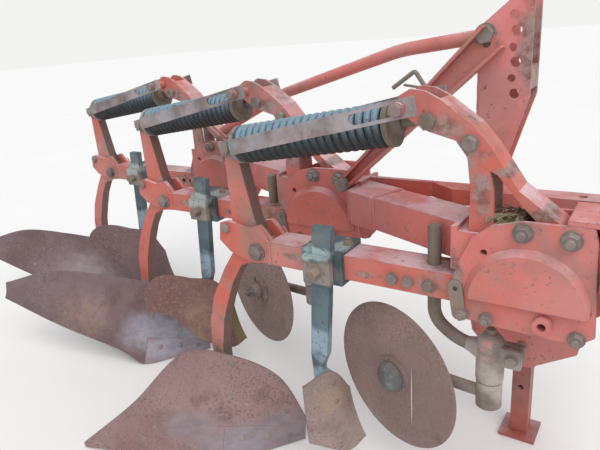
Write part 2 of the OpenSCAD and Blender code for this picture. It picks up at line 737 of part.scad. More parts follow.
// Bent stay tube from the mast's head to the spring arm of body 3
stay_r = 20;
module stay_tube() {
  seat = [arm_top[6], arm_top[7]];
  slope = atan2(seat[1][1] - seat[0][1], seat[1][0] - seat[0][0]);
  foot = mix(seat[0], seat[1], 0.5) + [-2 * body_gap, beam_z];
  up = [-sin(slope), cos(slope)];
  color(red_c) at_frame() {
    translate([foot[0], 2 * furrow_w, foot[1]]) rotate([0, -slope, 0])
      translate([-45, -30, fit]) cube([90, 60, 12]);
    difference() {
      swept_bar([[mast_x0 + 40, 290, 1372], [135, 297, 1362], [-75, 345, 1340],
        [-650, 484, 1190], [foot[0] + up[0] * 10, 2 * furrow_w, foot[1] + up[1] * 10]],
        stay_r, 45);
      translate([mast_x0 - fit, 200, 1300]) cube([200, 200, 200]);
      translate([foot[0], 2 * furrow_w, foot[1]]) rotate([0, -slope, 0])
        translate([-80, -60, -80 + fit]) cube([160, 120, 80]);
    }
  }
}

// Rail between the mast plates, from the headstock back to bracket 2
module left_bar() {
  x0 = front_x + front_t - body_gap + fit;
  color(red_c) at_frame() difference() {
    translate([0, 0, rail_z0]) linear_extrude(rail_z1 - rail_z0)
      polygon([[x0, rail_y1 - 19], [40, rail_y1 - 19], [120, rail_y0], [tube_x + 70, rail_y0],
        [tube_x + 70, rail_y1], [x0, rail_y1]]);
    translate([466, (rail_y0 + rail_y1) / 2, rail_z0 - 1]) cylinder(h = 60, r = 11);
  }
}

// Headstock: the cross tube with its end lugs, the cross shaft and the lower hitch pins
module headstock() {
  lug_t = 20;
  y_near = hitch_y - hitch_w / 2;
  y_far = hitch_y + hitch_w / 2;
  color(red_c) at_frame() {
    translate([tube_x, tube_y0, tube_z0]) cube([tube_w, tube_y1 - tube_y0, tube_z1 - tube_z0]);
    for (y = [tube_y0 + 6, tube_y1 - lug_t - 6])
      side_plate(y, y + lug_t) polygon([[tube_x + 12, tube_z0 + 2], [hitch_x - 40, hitch_z - 20],
        [hitch_x - 18, hitch_z - 42], [hitch_x + 18, hitch_z - 42], [hitch_x + lug_reach, hitch_z - 20],
        [tube_x + tube_w, tube_z0 + 2]]);
    cross_rod(hitch_x, hitch_z, 24, y_near, y_far);
    for (s = [-1, 1]) {
      y = s > 0 ? y_far : y_near;
      difference() {
        cross_rod(hitch_x, hitch_z, hitch_pin_r, s > 0 ? y - 1 : y - hitch_pin_l,
          s > 0 ? y + hitch_pin_l : y + 1);
        translate([hitch_x, y + s * 72, hitch_z - 30]) cylinder(h = 60, r = 5.5);
      }
    }
    // Cap plate over the front of bracket 1
    translate([tube_x, tube_y0, tube_z1 - 1]) cube([14, 150, beam_z + 203 + fit - tube_z1 + 1]);
    translate([480, tube_y0 + 4, beam_z + 203 + fit]) cube([tube_x + 14 - 480, 146, 12]);
  }
}

// Drop plate under the rail with the sleeve that the stand slides in
module stand_bracket() {
  y0 = stand_y - stand_w / 2 - stand_gap - sleeve_t - 4;
  half = stand_w / 2 + stand_gap;
  color(red_c) at_frame() difference() {
    union() {
      side_plate(y0 - plate_t, y0 + 1) polygon([[118, 620], [150, 400], [250, 290], [342, 303],
        [480, 390], [tube_x - fit, 800], [tube_x - fit, tube_z1], [150, tube_z1]]);
      translate([stand_x - half - sleeve_t, y0, 300])
        cube([2 * (half + sleeve_t), 2 * (half + sleeve_t) + 4, 150]);
      translate([stand_x - half - sleeve_t, y0, 700])
        cube([2 * (half + sleeve_t), 2 * (half + sleeve_t) + 4, 110]);
      translate([stand_x - 60, rail_y0, tube_z1 - 80]) cube([120, y0 - rail_y0 + 1, 80]);
    }
    translate([stand_x - half, stand_y - half, 200]) cube([2 * half, 2 * half, 800]);
    cross_rod(stand_x, 380, 9, stand_y - 60, stand_y + 60);
  }
}

// Parking stand: square leg with its foot plate
stand_l = 800;
module stand_leg() {
  foot_w = 120;
  foot_t = 12;
  color(red_c) at_frame() difference() {
    union() {
      translate([stand_x - stand_w / 2, stand_y - stand_w / 2, foot_t - 1])
        cube([stand_w, stand_w, stand_l - foot_t + 1]);
      translate([stand_x - foot_w / 2, stand_y - foot_w / 2, 0]) cube([foot_w, foot_w, foot_t]);
    }
    for (z = [200 : 90 : 560]) cross_rod(stand_x, z, 9, stand_y - 60, stand_y + 60);
  }
}

bracket(1);  // bracket_1
bracket(2);  // bracket_2
bracket(3);  // bracket_3
beam(1);  // beam_1
beam(2);  // beam_2
beam(3);  // beam_3
link(1);  // link_12
link(2);  // link_23
arm(1);  // arm_1
arm(2);  // arm_2
arm(3);  // arm_3
rod(1);  // rod_1
rod(2);  // rod_2
rod(3);  // rod_3
spring(1);  // spring_1
spring(2);  // spring_2
spring(3);  // spring_3
strap(1);  // strap_1
strap(2);  // strap_2
strap(3);  // strap_3
leg(1);  // leg_1
leg(2);  // leg_2
leg(3);  // leg_3
frog(1);  // frog_1
frog(2);  // frog_2
frog(3);  // frog_3
landside(1);  // landside_1
landside(2);  // landside_2
landside(3);  // landside_3
moldboard(1);  // moldboard_1
moldboard(2);  // moldboard_2
moldboard(3);  // moldboard_3
cover(1);  // cover_1
cover(2);  // cover_2
cover(3);  // cover_3
share(1);  // share_1
share(2);  // share_2
share(3);  // share_3
skim_stalk(1);  // skim_stalk_1
skim_stalk(2);  // skim_stalk_2
skim_stalk(3);  // skim_stalk_3
skim_board(1);  // skim_board_1
skim_board(2);  // skim_board_2
skim_board(3);  // skim_board_3
coulter_stem(1);  // coulter_stem_1
coulter_stem(2);  // coulter_stem_2
coulter_arm(1);  // coulter_arm_1
coulter_arm(2);  // coulter_arm_2
disc(1);  // disc_1
disc(2);  // disc_2
mast();
brace();
stay_tube();
left_bar();
headstock();
stand_bracket();
stand_leg();
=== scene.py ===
from math import atan2, cos, pi, radians, sin, sqrt

import bmesh
import bpy
from mathutils import Matrix, Vector


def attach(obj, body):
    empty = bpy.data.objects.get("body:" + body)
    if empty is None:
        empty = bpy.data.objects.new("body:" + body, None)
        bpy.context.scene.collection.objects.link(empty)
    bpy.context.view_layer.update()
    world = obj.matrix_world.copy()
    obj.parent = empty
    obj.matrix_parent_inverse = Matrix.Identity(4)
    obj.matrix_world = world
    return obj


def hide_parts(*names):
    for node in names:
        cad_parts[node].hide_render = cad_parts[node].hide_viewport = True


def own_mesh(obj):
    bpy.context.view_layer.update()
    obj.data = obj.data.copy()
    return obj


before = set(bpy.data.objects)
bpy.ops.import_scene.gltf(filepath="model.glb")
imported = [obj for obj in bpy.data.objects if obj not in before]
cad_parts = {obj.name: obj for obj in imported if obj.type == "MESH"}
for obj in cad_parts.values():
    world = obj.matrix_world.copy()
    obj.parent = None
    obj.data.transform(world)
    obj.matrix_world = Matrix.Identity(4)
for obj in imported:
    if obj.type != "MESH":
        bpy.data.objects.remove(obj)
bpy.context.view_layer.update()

# Sizes in millimetres, as the part's source has them
BODY_GAP = 750
FURROW = 305
MID = Vector((-1056.85, 195.25, 0))
MM = 0.001
BODIES = (1, 2, 3)
COULTER_BODIES = (1, 2)
BEAM_Z = 775
PLATE_OUT = 64
ARM_OUT = 42
CHEEK_OUT = 42
LEVER_OUT = 36.8
LEVER = Vector((-490, 0, 1098))
PIVOT = Vector((-408, 0, 768))
CROSS_PIN = Vector((114, 121, 1231))
SPRING_SLOPE = radians(8.4)
ROD_EYE = 656
SWIVEL_X = 316
TRAIL_END = Vector((50, 96, 405))
BOARD_T = 9
# Seams of the boards: v runs from lower to upper edge, t from the share's tip to the rear
SEAM_V = 0.34
SEAM_TOP, SEAM_LOW = 0.6, 0.7
SEAM_GAP = 0.0008

# Directions of the frame; the photo looks at the near side
NEAR = Vector((0, -1, 0))
FAR = Vector((0, 1, 0))
UP = Vector((0, 0, 1))
FRONT = Vector((1, 0, 0))


def at_body(n, x, y, z):
    """A point of body n, from millimetres to the frame's metres."""
    return Vector((x - (n - 1) * BODY_GAP, y + (n - 1) * FURROW, z)) * MM - MID * MM


def on_spring(n, x, y=0.0, z=0.0):
    """A point of the spring's line, x forwards from the lever's top pin."""
    c, s = cos(SPRING_SLOPE), sin(SPRING_SLOPE)
    return at_body(n, LEVER.x + x * c - z * s, y, LEVER.z + x * s + z * c)


# Node material helper
BEVEL_SAMPLES = 4
BUMP_STRENGTH = 0.6


class Shader:
    """Builds one material from nodes, with short calls for what repeats."""

    def __init__(self, name):
        self.mat = bpy.data.materials.new(name)
        self.mat.use_nodes = True
        self.tree = self.mat.node_tree
        self.tree.nodes.clear()
        self.coord = self.node("TexCoord").outputs["Object"]
        self.geo = self.node("NewGeometry")

    def node(self, kind):
        return self.tree.nodes.new("ShaderNode" + kind)

    def put(self, socket, value):
        """Links an input to another node's output, or sets its value."""
        if isinstance(value, bpy.types.NodeSocket):
            self.tree.links.new(value, socket)
        elif isinstance(value, tuple) and len(value) == 3 and socket.type == "RGBA":
            socket.default_value = (*value, 1.0)
        else:
            socket.default_value = value

    def fill(self, node, values):
        """Puts each value into the input of that name or number."""
        for name, value in values.items():
            self.put(node.inputs[name], value)

    def math(self, op, a, b, kind="Math", out=0):
        """One operation on two numbers, or on two vectors."""
        node = self.node(kind)
        node.operation = op
        self.fill(node, {0: a, 1: b})
        return node.outputs[out]

    def times(self, a, b):
        return self.math("MULTIPLY", a, b)

    def dot(self, a, b):
        return self.math("DOT_PRODUCT", a, b, "VectorMath", "Value")

    def noise(self, scale, detail, rough=0.55, offset=0, stretch=(1, 1, 1)):
        """Noise on the object's coordinates; each offset shows another part of it."""
        shift = self.node("Mapping")
        self.fill(shift, {"Vector": self.coord, "Location": (offset, offset * 0.7, -offset),
                          "Scale": stretch})
        tex = self.node("TexNoise")
        self.fill(tex, {"Vector": shift.outputs[0], "Scale": scale, "Detail": detail,
                        "Roughness": rough})
        return tex.outputs["Fac"]

    def ramp(self, value, low, high, least=0, most=1):
        """Soft step from least to most, while value goes from low to high."""
        node = self.node("MapRange")
        node.interpolation_type = "SMOOTHSTEP"
        self.fill(node, {"Value": value, "From Min": low, "From Max": high, "To Min": least,
                         "To Max": most})
        return node.outputs[0]

    def patch(self, scale, detail, low, high, least=0, most=1, rough=0.55, offset=0):
        """Soft-edged patches of noise."""
        return self.ramp(self.noise(scale, detail, rough, offset), low, high, least, most)

    def mix(self, factor, a, b):
        """Colour a, or b where the factor is 1."""
        node = self.node("Mix")
        node.data_type = "RGBA"
        self.fill(node, {0: factor, 6: a, 7: b})
        return node.outputs[2]

    def layer(self, below, colour, *patch, **ways):
        """Lays a colour over what is below in patches of noise."""
        return self.mix(self.patch(*patch, **ways), below, colour)

    def stain(self, below, colour, share, amount):
        """Lays a colour over what is below, by share times amount."""
        return self.mix(self.times(share, amount), below, colour)

    def along(self, axis):
        """How far a face looks along an axis of the frame, from -1 to 1."""
        return self.dot(self.geo.outputs["True Normal"], axis)

    def facing_up(self):
        """1 on faces that look to the sky."""
        return self.ramp(self.along(UP), 0.45, 0.9)

    def spot(self, place, radii, soft=0.45, wobble=0.35):
        """1 near a point of the frame, fading towards an ellipsoid with ragged edges."""
        way = self.math("SUBTRACT", self.coord, place, "VectorMath")
        scaled = self.math("DIVIDE", way, [r * MM for r in radii], "VectorMath")
        far = self.math("LENGTH", scaled, (0, 0, 0), "VectorMath", "Value")
        ragged = self.times(self.math("SUBTRACT", self.noise(22, 5), 0.5), wobble * 3)
        return self.ramp(self.math("ADD", far, ragged), 1, 1 - soft)

    def spots(self, places, **ways):
        """The strongest of several spots; each is a place and its radii."""
        total = None
        for place, radii in places:
            one = self.spot(place, radii, **ways)
            total = one if total is None else self.math("MAXIMUM", total, one)
        return total

    def bevelled(self, radius):
        """The normal with the solid's edges rounded."""
        bevel = self.node("Bevel")
        bevel.samples = BEVEL_SAMPLES
        self.put(bevel.inputs["Radius"], radius)
        return bevel.outputs[0]

    def edges(self, radius):
        """1 along the edges of a solid, where bevelled and plain normal differ."""
        same = self.dot(self.bevelled(radius), self.geo.outputs["Normal"])
        return self.ramp(self.math("SUBTRACT", 1, same), 0.02, 0.25)

    def finish(self, color, rough, metal=0, bump=None, depth=0, round_edge=0):
        """Closes the material; depth and round_edge are in metres."""
        shader = self.node("BsdfPrincipled")
        self.fill(shader, {"Base Color": color, "Roughness": rough, "Metallic": metal})
        normal = self.bevelled(round_edge) if round_edge else None
        if bump is not None:
            node = self.node("Bump")
            self.fill(node, {"Strength": BUMP_STRENGTH, "Distance": depth, "Height": bump})
            if normal:
                self.put(node.inputs["Normal"], normal)
            normal = node.outputs[0]
        if normal:
            self.put(shader.inputs["Normal"], normal)
        self.put(self.node("OutputMaterial").inputs[0], shader.outputs[0])
        return self.mat


# Colours, linear, read from the look of the machine in daylight
RED = (0.56, 0.122, 0.086)
RED_FADED = (0.52, 0.195, 0.17)
RED_SUNNED = (0.74, 0.275, 0.275)
RED_DEEP = (0.38, 0.072, 0.056)
RED_DULL = (0.11, 0.035, 0.028)
# Pale pink of the top faces: painted reflection of the sky
TOP_SKY_SHEEN = (0.66, 0.45, 0.48)
BARE = (0.175, 0.135, 0.122)
RUST = (0.16, 0.08, 0.058)
GREY_BARE = (0.29, 0.235, 0.222)
GRIME = (0.23, 0.19, 0.16)
# Dark brown-grey of faces that look forwards: dirt and painted shade
FRONT_DIRT_AND_SHADE = (0.1, 0.075, 0.062)
MOSS = (0.2, 0.2, 0.1)
EARTH = (0.34, 0.235, 0.165)
TEAL = (0.06, 0.098, 0.112)
TEAL_PALE = (0.2, 0.29, 0.33)
TEAL_DEEP = (0.018, 0.028, 0.032)
# Coils: painted highlight on top, painted shade below
COIL_HIGHLIGHT = (0.178, 0.272, 0.335)
COIL_SHADE = (0.026, 0.028, 0.028)
COIL_CHIP = (0.085, 0.062, 0.05)
PINK_SPLASH = (0.6, 0.23, 0.22)
CAST_DUST = (0.36, 0.32, 0.3)
CAST_EDGE = (0.33, 0.28, 0.25)
WORN_STEEL = (0.215, 0.205, 0.245)
RUST_FLECK = (0.44, 0.31, 0.29)
RUST_FLAKE = (0.4, 0.235, 0.18)
PLANT_STAIN = (0.235, 0.215, 0.075)
SCRATCH = (0.8, 0.74, 0.72)
BOARD_EDGE = (0.3, 0.235, 0.235)


def red_paint(name, worn=1.0, sky_sheen=1.0, bare_at=(), front_shade_and_dirt=0, moss_at=(), dull=0, faded=0):
    """Worn red paint: streaks, painted sky sheen on the tops, grime, chips, bare edges, marked
    places, and dirt with painted shade on the front faces.
    """
    s = Shader(name)
    paint = s.layer(RED, RED_FADED, 2.2, 3, 0.38, 0.66)
    paint = s.layer(paint, RED_DEEP, 7, 4, 0.5, 0.75, most=0.55, offset=3)
    streak = s.noise(9, 5, 0.6, 5, (6, 6, 0.7))
    paint = s.mix(s.ramp(streak, 0.52, 0.72, most=0.35), paint, GRIME)
    # Pale pink in patches on faces that look up: painted sky reflection
    sheen_patches = s.patch(5, 5, 0.36, 0.56, rough=0.6, offset=9)
    paint = s.stain(paint, TOP_SKY_SHEEN, s.times(s.facing_up(), sky_sheen), sheen_patches)
    if faded:
        paint = s.layer(paint, RED_SUNNED, 5.5, 5, 0.3, 0.58, faded * 0.45, faded, 0.6, 14)
    paint = s.stain(paint, GRIME, s.patch(4.2, 6, 0.5, 0.64, rough=0.62, offset=1.7), 0.44 * worn)
    chips = s.patch(62, 7, 0.615 - 0.02 * worn, 0.67, rough=0.66, offset=2)
    chips = s.times(chips, s.patch(3.1, 3, 0.36, 0.6, 0.25, offset=7))
    paint = s.mix(chips, paint, BARE)
    edge = s.times(s.edges(0.006), s.patch(26, 5, 0.38, 0.62, offset=4))
    paint = s.stain(paint, BARE, edge, 0.85)
    if bare_at:
        bare = s.layer(GREY_BARE, RUST, 40, 6, 0.4, 0.62, rough=0.65)
        paint = s.stain(paint, bare, s.spots(bare_at), 0.82)
    if moss_at:
        paint = s.stain(paint, MOSS, s.spots(moss_at), 0.8)
    if dull:
        paint = s.layer(paint, RED_DULL, 8, 4, 0.3, 0.7, dull * 0.7, dull, offset=11)
    # Faces that look forwards are darkened: dirt and painted shade
    if front_shade_and_dirt:
        paint = s.stain(paint, FRONT_DIRT_AND_SHADE, s.ramp(s.along(FRONT), 0.5, 0.8), front_shade_and_dirt)
    rough = s.patch(30, 3, 0.3, 0.7, 0.48, 0.72)
    bump = s.math("SUBTRACT", s.noise(85, 5), s.times(chips, 0.5))
    return s.finish(paint, rough, 0, bump, 0.0006, 0.002)


def teal_paint(name, deep, patches):
    """Dark blue-green paint; each patch is a colour and the places that have it."""
    s = Shader(name)
    paint = s.layer(TEAL, TEAL_PALE, 6, 4, 0.35, 0.68, most=0.35)
    paint = s.layer(paint, TEAL_DEEP, 16, 5, 0.5, 0.68, most=deep, offset=2)
    for colour, spots in patches:
        paint = s.stain(paint, colour, s.spots(spots), 0.88)
    chips = s.patch(70, 7, 0.56, 0.63, rough=0.7, offset=6)
    chips = s.times(chips, s.patch(5, 3, 0.35, 0.6, 0.2, offset=8))
    paint = s.mix(chips, paint, RUST)
    edge = s.times(s.edges(0.006), s.patch(24, 5, 0.42, 0.62, offset=4))
    paint = s.stain(paint, GRIME, edge, 0.6)
    return s.finish(paint, s.patch(28, 3, 0.3, 0.7, 0.42, 0.66), 0.1, s.noise(90, 5), 0.0006, 0.002)


def spring_paint(name):
    """Painted highlight of pale blue-green on top of the coils, painted shade of near black below
    and inside.
    """
    s = Shader(name)
    uneven = s.times(s.noise(30, 4), 0.3)
    # Lighter towards faces that look up: painted highlight above, painted shade below
    paint = s.mix(s.ramp(s.math("ADD", s.along(UP), uneven), -0.15, 0.75), COIL_SHADE, COIL_HIGHLIGHT)
    paint = s.layer(paint, COIL_CHIP, 60, 6, 0.58, 0.64, most=0.8, rough=0.68, offset=6)
    return s.finish(paint, s.patch(28, 3, 0.3, 0.7, 0.45, 0.7), 0, s.noise(90, 5), 0.0006)


def cast_metal(name, base, tint, tint_share, rust, splash_at=(), splash=PINK_SPLASH):
    """Cast or bare metal, and moss or straw: tinted in broad areas, rusty in small ones."""
    s = Shader(name)
    color = s.layer(base, BARE, 7, 5, 0.36, 0.66)
    color = s.layer(color, tint, 11, 6, 0.5, 0.68, most=tint_share, rough=0.65, offset=5)
    color = s.layer(color, RUST, 38, 7, 0.5, 0.66, most=rust, rough=0.68, offset=2)
    if splash_at:
        ragged = s.patch(75, 5, 0.47, 0.56, most=0.8, rough=0.6, offset=3)
        color = s.stain(color, splash, s.spots(splash_at), ragged)
    color = s.stain(color, CAST_DUST, s.facing_up(), s.patch(9, 4, 0.4, 0.6, 0.1, 0.5))
    color = s.stain(color, CAST_EDGE, s.edges(0.005), 0.35)
    rough = s.patch(40, 3, 0.3, 0.7, 0.55, 0.8)
    return s.finish(color, rough, 0.15, s.noise(120, 6, 0.65), 0.0012, 0.002)


def rusty_board(name, tones, worn_at=(), earth_at=(), worn=WORN_STEEL, green_at=(), scratch_at=(),
                earth=0.75, coarse=0):
    """Rusty ploughing steel: mauve-brown speckle, with smooth worn and earth-stained places."""
    s = Shader(name)
    base, light, dark = tones
    rust = s.layer(base, light, 3.2, 4, 0.34, 0.66)
    rust = s.layer(rust, dark, 9, 5, 0.52, 0.7, most=0.4, rough=0.6, offset=4)
    rough_area = s.patch(2.1, 3, 0.36, 0.6, 0.25, offset=6)
    if worn_at:
        smooth = s.spots(worn_at, soft=0.75, wobble=0.22)
        rough_area = s.times(rough_area, s.math("SUBTRACT", 1, smooth))
    speck = s.patch(120, 6, 0.52, 0.6, rough=0.72, offset=3)
    rust = s.stain(rust, dark, s.times(speck, rough_area), 0.75)
    fleck = s.patch(95, 5, 0.58, 0.66, rough=0.7, offset=8)
    rust = s.stain(rust, RUST_FLECK, s.times(fleck, rough_area), 0.55)
    if earth_at:
        uneven = s.patch(30, 6, 0.36, 0.6, 0.35, rough=0.65, offset=12)
        rust = s.stain(rust, EARTH, s.times(s.spots(earth_at, soft=0.8), uneven), earth)
    if coarse:
        rust = s.layer(rust, RUST_FLAKE, 75, 6, 0.54, 0.6, 0, coarse, 0.75, 15)
    if green_at:
        rust = s.stain(rust, PLANT_STAIN, s.spots(green_at, soft=0.6), 0.85)
    if worn_at:
        grain = s.ramp(s.noise(14, 5, 0.6, 2, (1, 1, 2.2)), 0.36, 0.64)
        steel = s.mix(grain, worn, tuple(0.74 * c for c in worn))
        rust = s.stain(rust, steel, smooth, 0.88)
    if scratch_at:
        rust = s.mix(s.spots(scratch_at, soft=0.5, wobble=0), rust, SCRATCH)
    rust = s.stain(rust, BOARD_EDGE, s.edges(0.004), 0.5)
    rough = s.patch(24, 4, 0.3, 0.7, 0.62, 0.82)
    if worn_at:
        rough = s.math("SUBTRACT", rough, s.times(smooth, 0.22))
    bump = s.times(s.noise(130, 6, 0.7), s.math("ADD", rough_area, 0.2))
    return s.finish(rust, rough, 0.05, bump, 0.0009, 0.0012)


def places(table, bodies=BODIES):
    """Spots on the given bodies, from rows of x, y, z and radii in millimetres."""
    return [(at_body(n, x, y, z), radii) for n in bodies for x, y, z, *radii in table]


# Marked places of the paint: x, y, z and radii
BRACKET_MOSS = ((372, 0, 968, 75, 62, 45),)
BRACKET_BARE = ((232, -64, 800, 34, 30, 105),)
MAST_BARE = ((326, 290, 1330, 56, 120, 165),)
BEAM_BARE = ((185, 0, 775, 80, 80, 60), (-10, 0, 765, 75, 80, 16), (-270, 0, 778, 50, 80, 18))
ARM_BARE = ((205, 0, 1180, 70, 80, 45), (222, 0, 1116, 110, 80, 56), (290, 0, 1020, 48, 80, 95),
            (345, 0, 1080, 50, 80, 18), (430, 0, 990, 60, 80, 16))
LEG_BARE = ((-408, 0, 850, 60, 60, 34), (-668, 0, 300, 60, 60, 60), (-490, 0, 1085, 40, 60, 40))
HOUSING_PINK = ((312, -34, 606, 26, 22, 36),)
# Patches of the skimmer stalks and their clamps: bodies, colour and places
STALK_PATCHES = (
    (BODIES, (0.27, 0.37, 0.44), ((-160, -60, 525, 90, 60, 88), (-170, -60, 400, 60, 60, 60))),
    (BODIES, (0.3, 0.245, 0.215), ((-145, -100, 765, 80, 60, 50),)),
    ((1,), (0.36, 0.47, 0.47), ((-165, -75, 822, 70, 70, 26), (-110, -20, 828, 40, 50, 18))),
    ((2, 3), (0.4, 0.42, 0.41), ((-160, -80, 812, 80, 70, 42), (-110, -10, 826, 60, 60, 22))),
    (BODIES, (0.14, 0.165, 0.165), ((-146, -60, 868, 60, 60, 34),)),
)
# The straps are blue-grey at the rear, on the first body over a shorter length
STRAP_BLUE = (0.21, 0.26, 0.29)
STRAP_PLACES = (places(((-420, 0, 1150, 230, 110, 130),), (1,))
                + places(((-230, 0, 1150, 420, 110, 130),), (2, 3)))

PAINT = red_paint("paint_red", moss_at=places(BRACKET_MOSS), bare_at=places(BRACKET_BARE), faded=0.3)
PAINT_WORN = red_paint("paint_red_worn", 1.5, dull=0.55)
PAINT_CALM = red_paint("paint_red_calm", 0.7, 0.5)
PAINT_MAST = red_paint("paint_mast", 0.7, faded=0.7, bare_at=places(MAST_BARE, (1,)))
PAINT_BEAM = red_paint("paint_beam", 1.2, bare_at=places(BEAM_BARE))
PAINT_ARM = red_paint("paint_arm", 1.3, bare_at=places(ARM_BARE))
PAINT_LEG = red_paint("paint_leg", 1.5, 0.3, places(LEG_BARE), front_shade_and_dirt=0.8)
TEAL_WORN = teal_paint("paint_teal", 0.6, [
    (colour, places(table, bodies)) for bodies, colour, table in STALK_PATCHES])
SPRING_TEAL = spring_paint("paint_spring")
CASTING = cast_metal("cast_grey", (0.25, 0.2, 0.18), MOSS, 0.5, 0.7)
STEM_METAL = cast_metal("stem_metal", (0.2, 0.165, 0.125), (0.15, 0.165, 0.07), 0.75, 0.45)
HOUSING = cast_metal("cast_pale", (0.43, 0.38, 0.345), (0.31, 0.28, 0.18), 0.6, 0.25,
                     places(HOUSING_PINK, COULTER_BODIES))
CASTING_MOSS = cast_metal("cast_moss", (0.175, 0.15, 0.11), MOSS, 0.8, 0.4)
STRAP_METAL = cast_metal("strap_metal", (0.4, 0.345, 0.355), (0.3, 0.325, 0.34), 0.6, 0.28,
                         STRAP_PLACES, STRAP_BLUE)
BOLT_METAL = cast_metal("bolt_metal", (0.28, 0.235, 0.21), MOSS, 0.3, 0.35)
HUB_METAL = cast_metal("hub_metal", (0.11, 0.115, 0.12), (0.3, 0.3, 0.29), 0.6, 0.3)
TAN_METAL = cast_metal("tan_metal", (0.3, 0.225, 0.155), MOSS, 0.2, 0.5)
LUG_METAL = cast_metal("lug_metal", (0.26, 0.215, 0.165), (0.3, 0.19, 0.17), 0.5, 0.4)
MOSS_EARTH = cast_metal("moss_earth", (0.36, 0.35, 0.14), (0.48, 0.47, 0.2), 0.9, 0.15)
# Near black disc in the lug's hole: painted shade
HOLE_SHADE = cast_metal("hole_painted_shade", (0.02, 0.016, 0.014), (0.03, 0.024, 0.02), 0.5, 0.1)
STRAW = cast_metal("straw_dry", (0.42, 0.37, 0.2), (0.3, 0.27, 0.12), 0.8, 0.2)

# Boards and discs: main, light and dark tone of the rust, then worn and stained places
RUST_DARK = (0.095, 0.05, 0.048)
MAUVE = ((0.225, 0.132, 0.128), (0.285, 0.185, 0.18), RUST_DARK)
SHADE = ((0.135, 0.085, 0.088), (0.205, 0.14, 0.148), RUST_DARK)
BOARD = {
    1: rusty_board("board_rust_1", MAUVE, places((
        (-470, -170, 60, 330, 150, 75), (-640, -230, 110, 170, 120, 80),
        (-362, 24, 70, 75, 70, 62), (-420, -20, 80, 120, 110, 52)), (1,)),
        worn=(0.255, 0.208, 0.228)),
    # Board 2's worn steel is lighter than board 1's: worn steel with painted light for its place in
    # shade
    2: rusty_board("board_rust_2", SHADE, places((
        (-535, -150, 140, 210, 170, 125), (-500, -90, 110, 190, 150, 110),
        (-400, -20, 90, 150, 130, 90)), (2,)),
        places(((-800, -290, 240, 260, 150, 130),), (2,)), (0.315, 0.305, 0.36), earth=0.42),
    3: rusty_board("board_rust_3", SHADE, places((
        (-600, -210, 180, 300, 200, 170),), (3,)), worn=(0.29, 0.235, 0.25)),
}
SHARE_WORN_AT = ((-470, -130, 50, 250, 190, 85), (-370, 0, 40, 120, 120, 75))
# Share 2's worn steel is lighter than share 1's: worn steel with painted light for its place in
# shade
SHARE_WORN = {1: (0.245, 0.215, 0.24), 2: (0.32, 0.305, 0.36), 3: (0.28, 0.235, 0.25)}
SHARE = {n: rusty_board("share_rust_%d" % n, MAUVE, places(SHARE_WORN_AT, (n,)), worn=SHARE_WORN[n])
         for n in BODIES}
DISC = {
    1: rusty_board("disc_rust_1", ((0.235, 0.156, 0.142), (0.3, 0.205, 0.178), (0.11, 0.064, 0.058)),
                   scratch_at=places(((93, 3, 362, 1.7, 14, 120),), (1,))),
    # Disc 2 has lighter tones than disc 1: painted light on a disc that stands in shade
    2: rusty_board("disc_rust_2", ((0.3, 0.215, 0.19), (0.37, 0.27, 0.22), (0.15, 0.095, 0.085))),
}
SKIM = {
    1: rusty_board("skim_rust_1", ((0.25, 0.185, 0.165), (0.31, 0.235, 0.21), (0.12, 0.075, 0.06)),
                   earth_at=places(((-120, -80, 330, 90, 90, 80),), (1,))),
    2: rusty_board("skim_rust_2", ((0.185, 0.096, 0.088), (0.25, 0.145, 0.13), RUST_DARK),
                   earth_at=places(((-165, -130, 250, 110, 120, 110),
                                    (-182, -143, 325, 100, 80, 85)), (2,)),
                   green_at=places(((-90, 2, 215, 50, 60, 120),), (2,)), coarse=0.5),
    3: rusty_board("skim_rust_3", ((0.15, 0.095, 0.098), (0.21, 0.145, 0.15), RUST_DARK)),
}

NODE_LOOKS = {
    "bracket": PAINT, "beam": PAINT_BEAM, "link": PAINT, "arm": PAINT_ARM, "rod": CASTING_MOSS,
    "strap": STRAP_METAL, "leg": PAINT_LEG, "frog": CASTING, "landside": SHARE,
    "skim_stalk": TEAL_WORN, "coulter_stem": STEM_METAL, "coulter_arm": HOUSING, "disc": DISC,
    "mast": PAINT_MAST, "brace": PAINT_CALM, "stay_tube": PAINT, "left_bar": PAINT_CALM,
    "headstock": PAINT, "stand_bracket": PAINT, "stand_leg": PAINT_WORN,
}


def dress_nodes():
    """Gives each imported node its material."""
    for name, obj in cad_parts.items():
        base = name.rstrip("0123456789").rstrip("_")
        look = NODE_LOOKS.get(base, PAINT)
        if isinstance(look, dict):
            look = look[int(name[-1])]
        obj.data.materials.clear()
        obj.data.materials.append(look)


# Mesh helpers
def add_object(name, data):
    obj = bpy.data.objects.new(name, data)
    bpy.context.scene.collection.objects.link(obj)
    return obj


def add_mesh(name, bm, material):
    """Turns a bmesh into an object of one material."""
    mesh = bpy.data.meshes.new(name)
    bm.to_mesh(mesh)
    bm.free()
    mesh.materials.append(material)
    return add_object(name, mesh)


def new_piece(name, bm, material, body="root", smooth=40):
    """Turns a bmesh into a piece on a body; edges below an angle are smooth."""
    bmesh.ops.recalc_face_normals(bm, faces=bm.faces)
    limit = radians(smooth)
    for face in bm.faces:
        face.smooth = True
    for edge in bm.edges:
        edge.smooth = len(edge.link_faces) == 2 and edge.calc_face_angle(0) < limit
    obj = add_mesh(name, bm, material)
    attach(obj, body)
    return obj


def axis_frame(axis):
    """Rotation that takes Z to an axis."""
    return UP.rotation_difference(Vector(axis).normalized()).to_matrix()


def steps(low, high, count):
    """Even steps from low to high, both ends included."""
    return [low + (high - low) * i / count for i in range(count + 1)]


def circle(count, start=0.0):
    """Even angles around a circle."""
    return [2 * pi * k / count + start for k in range(count)]


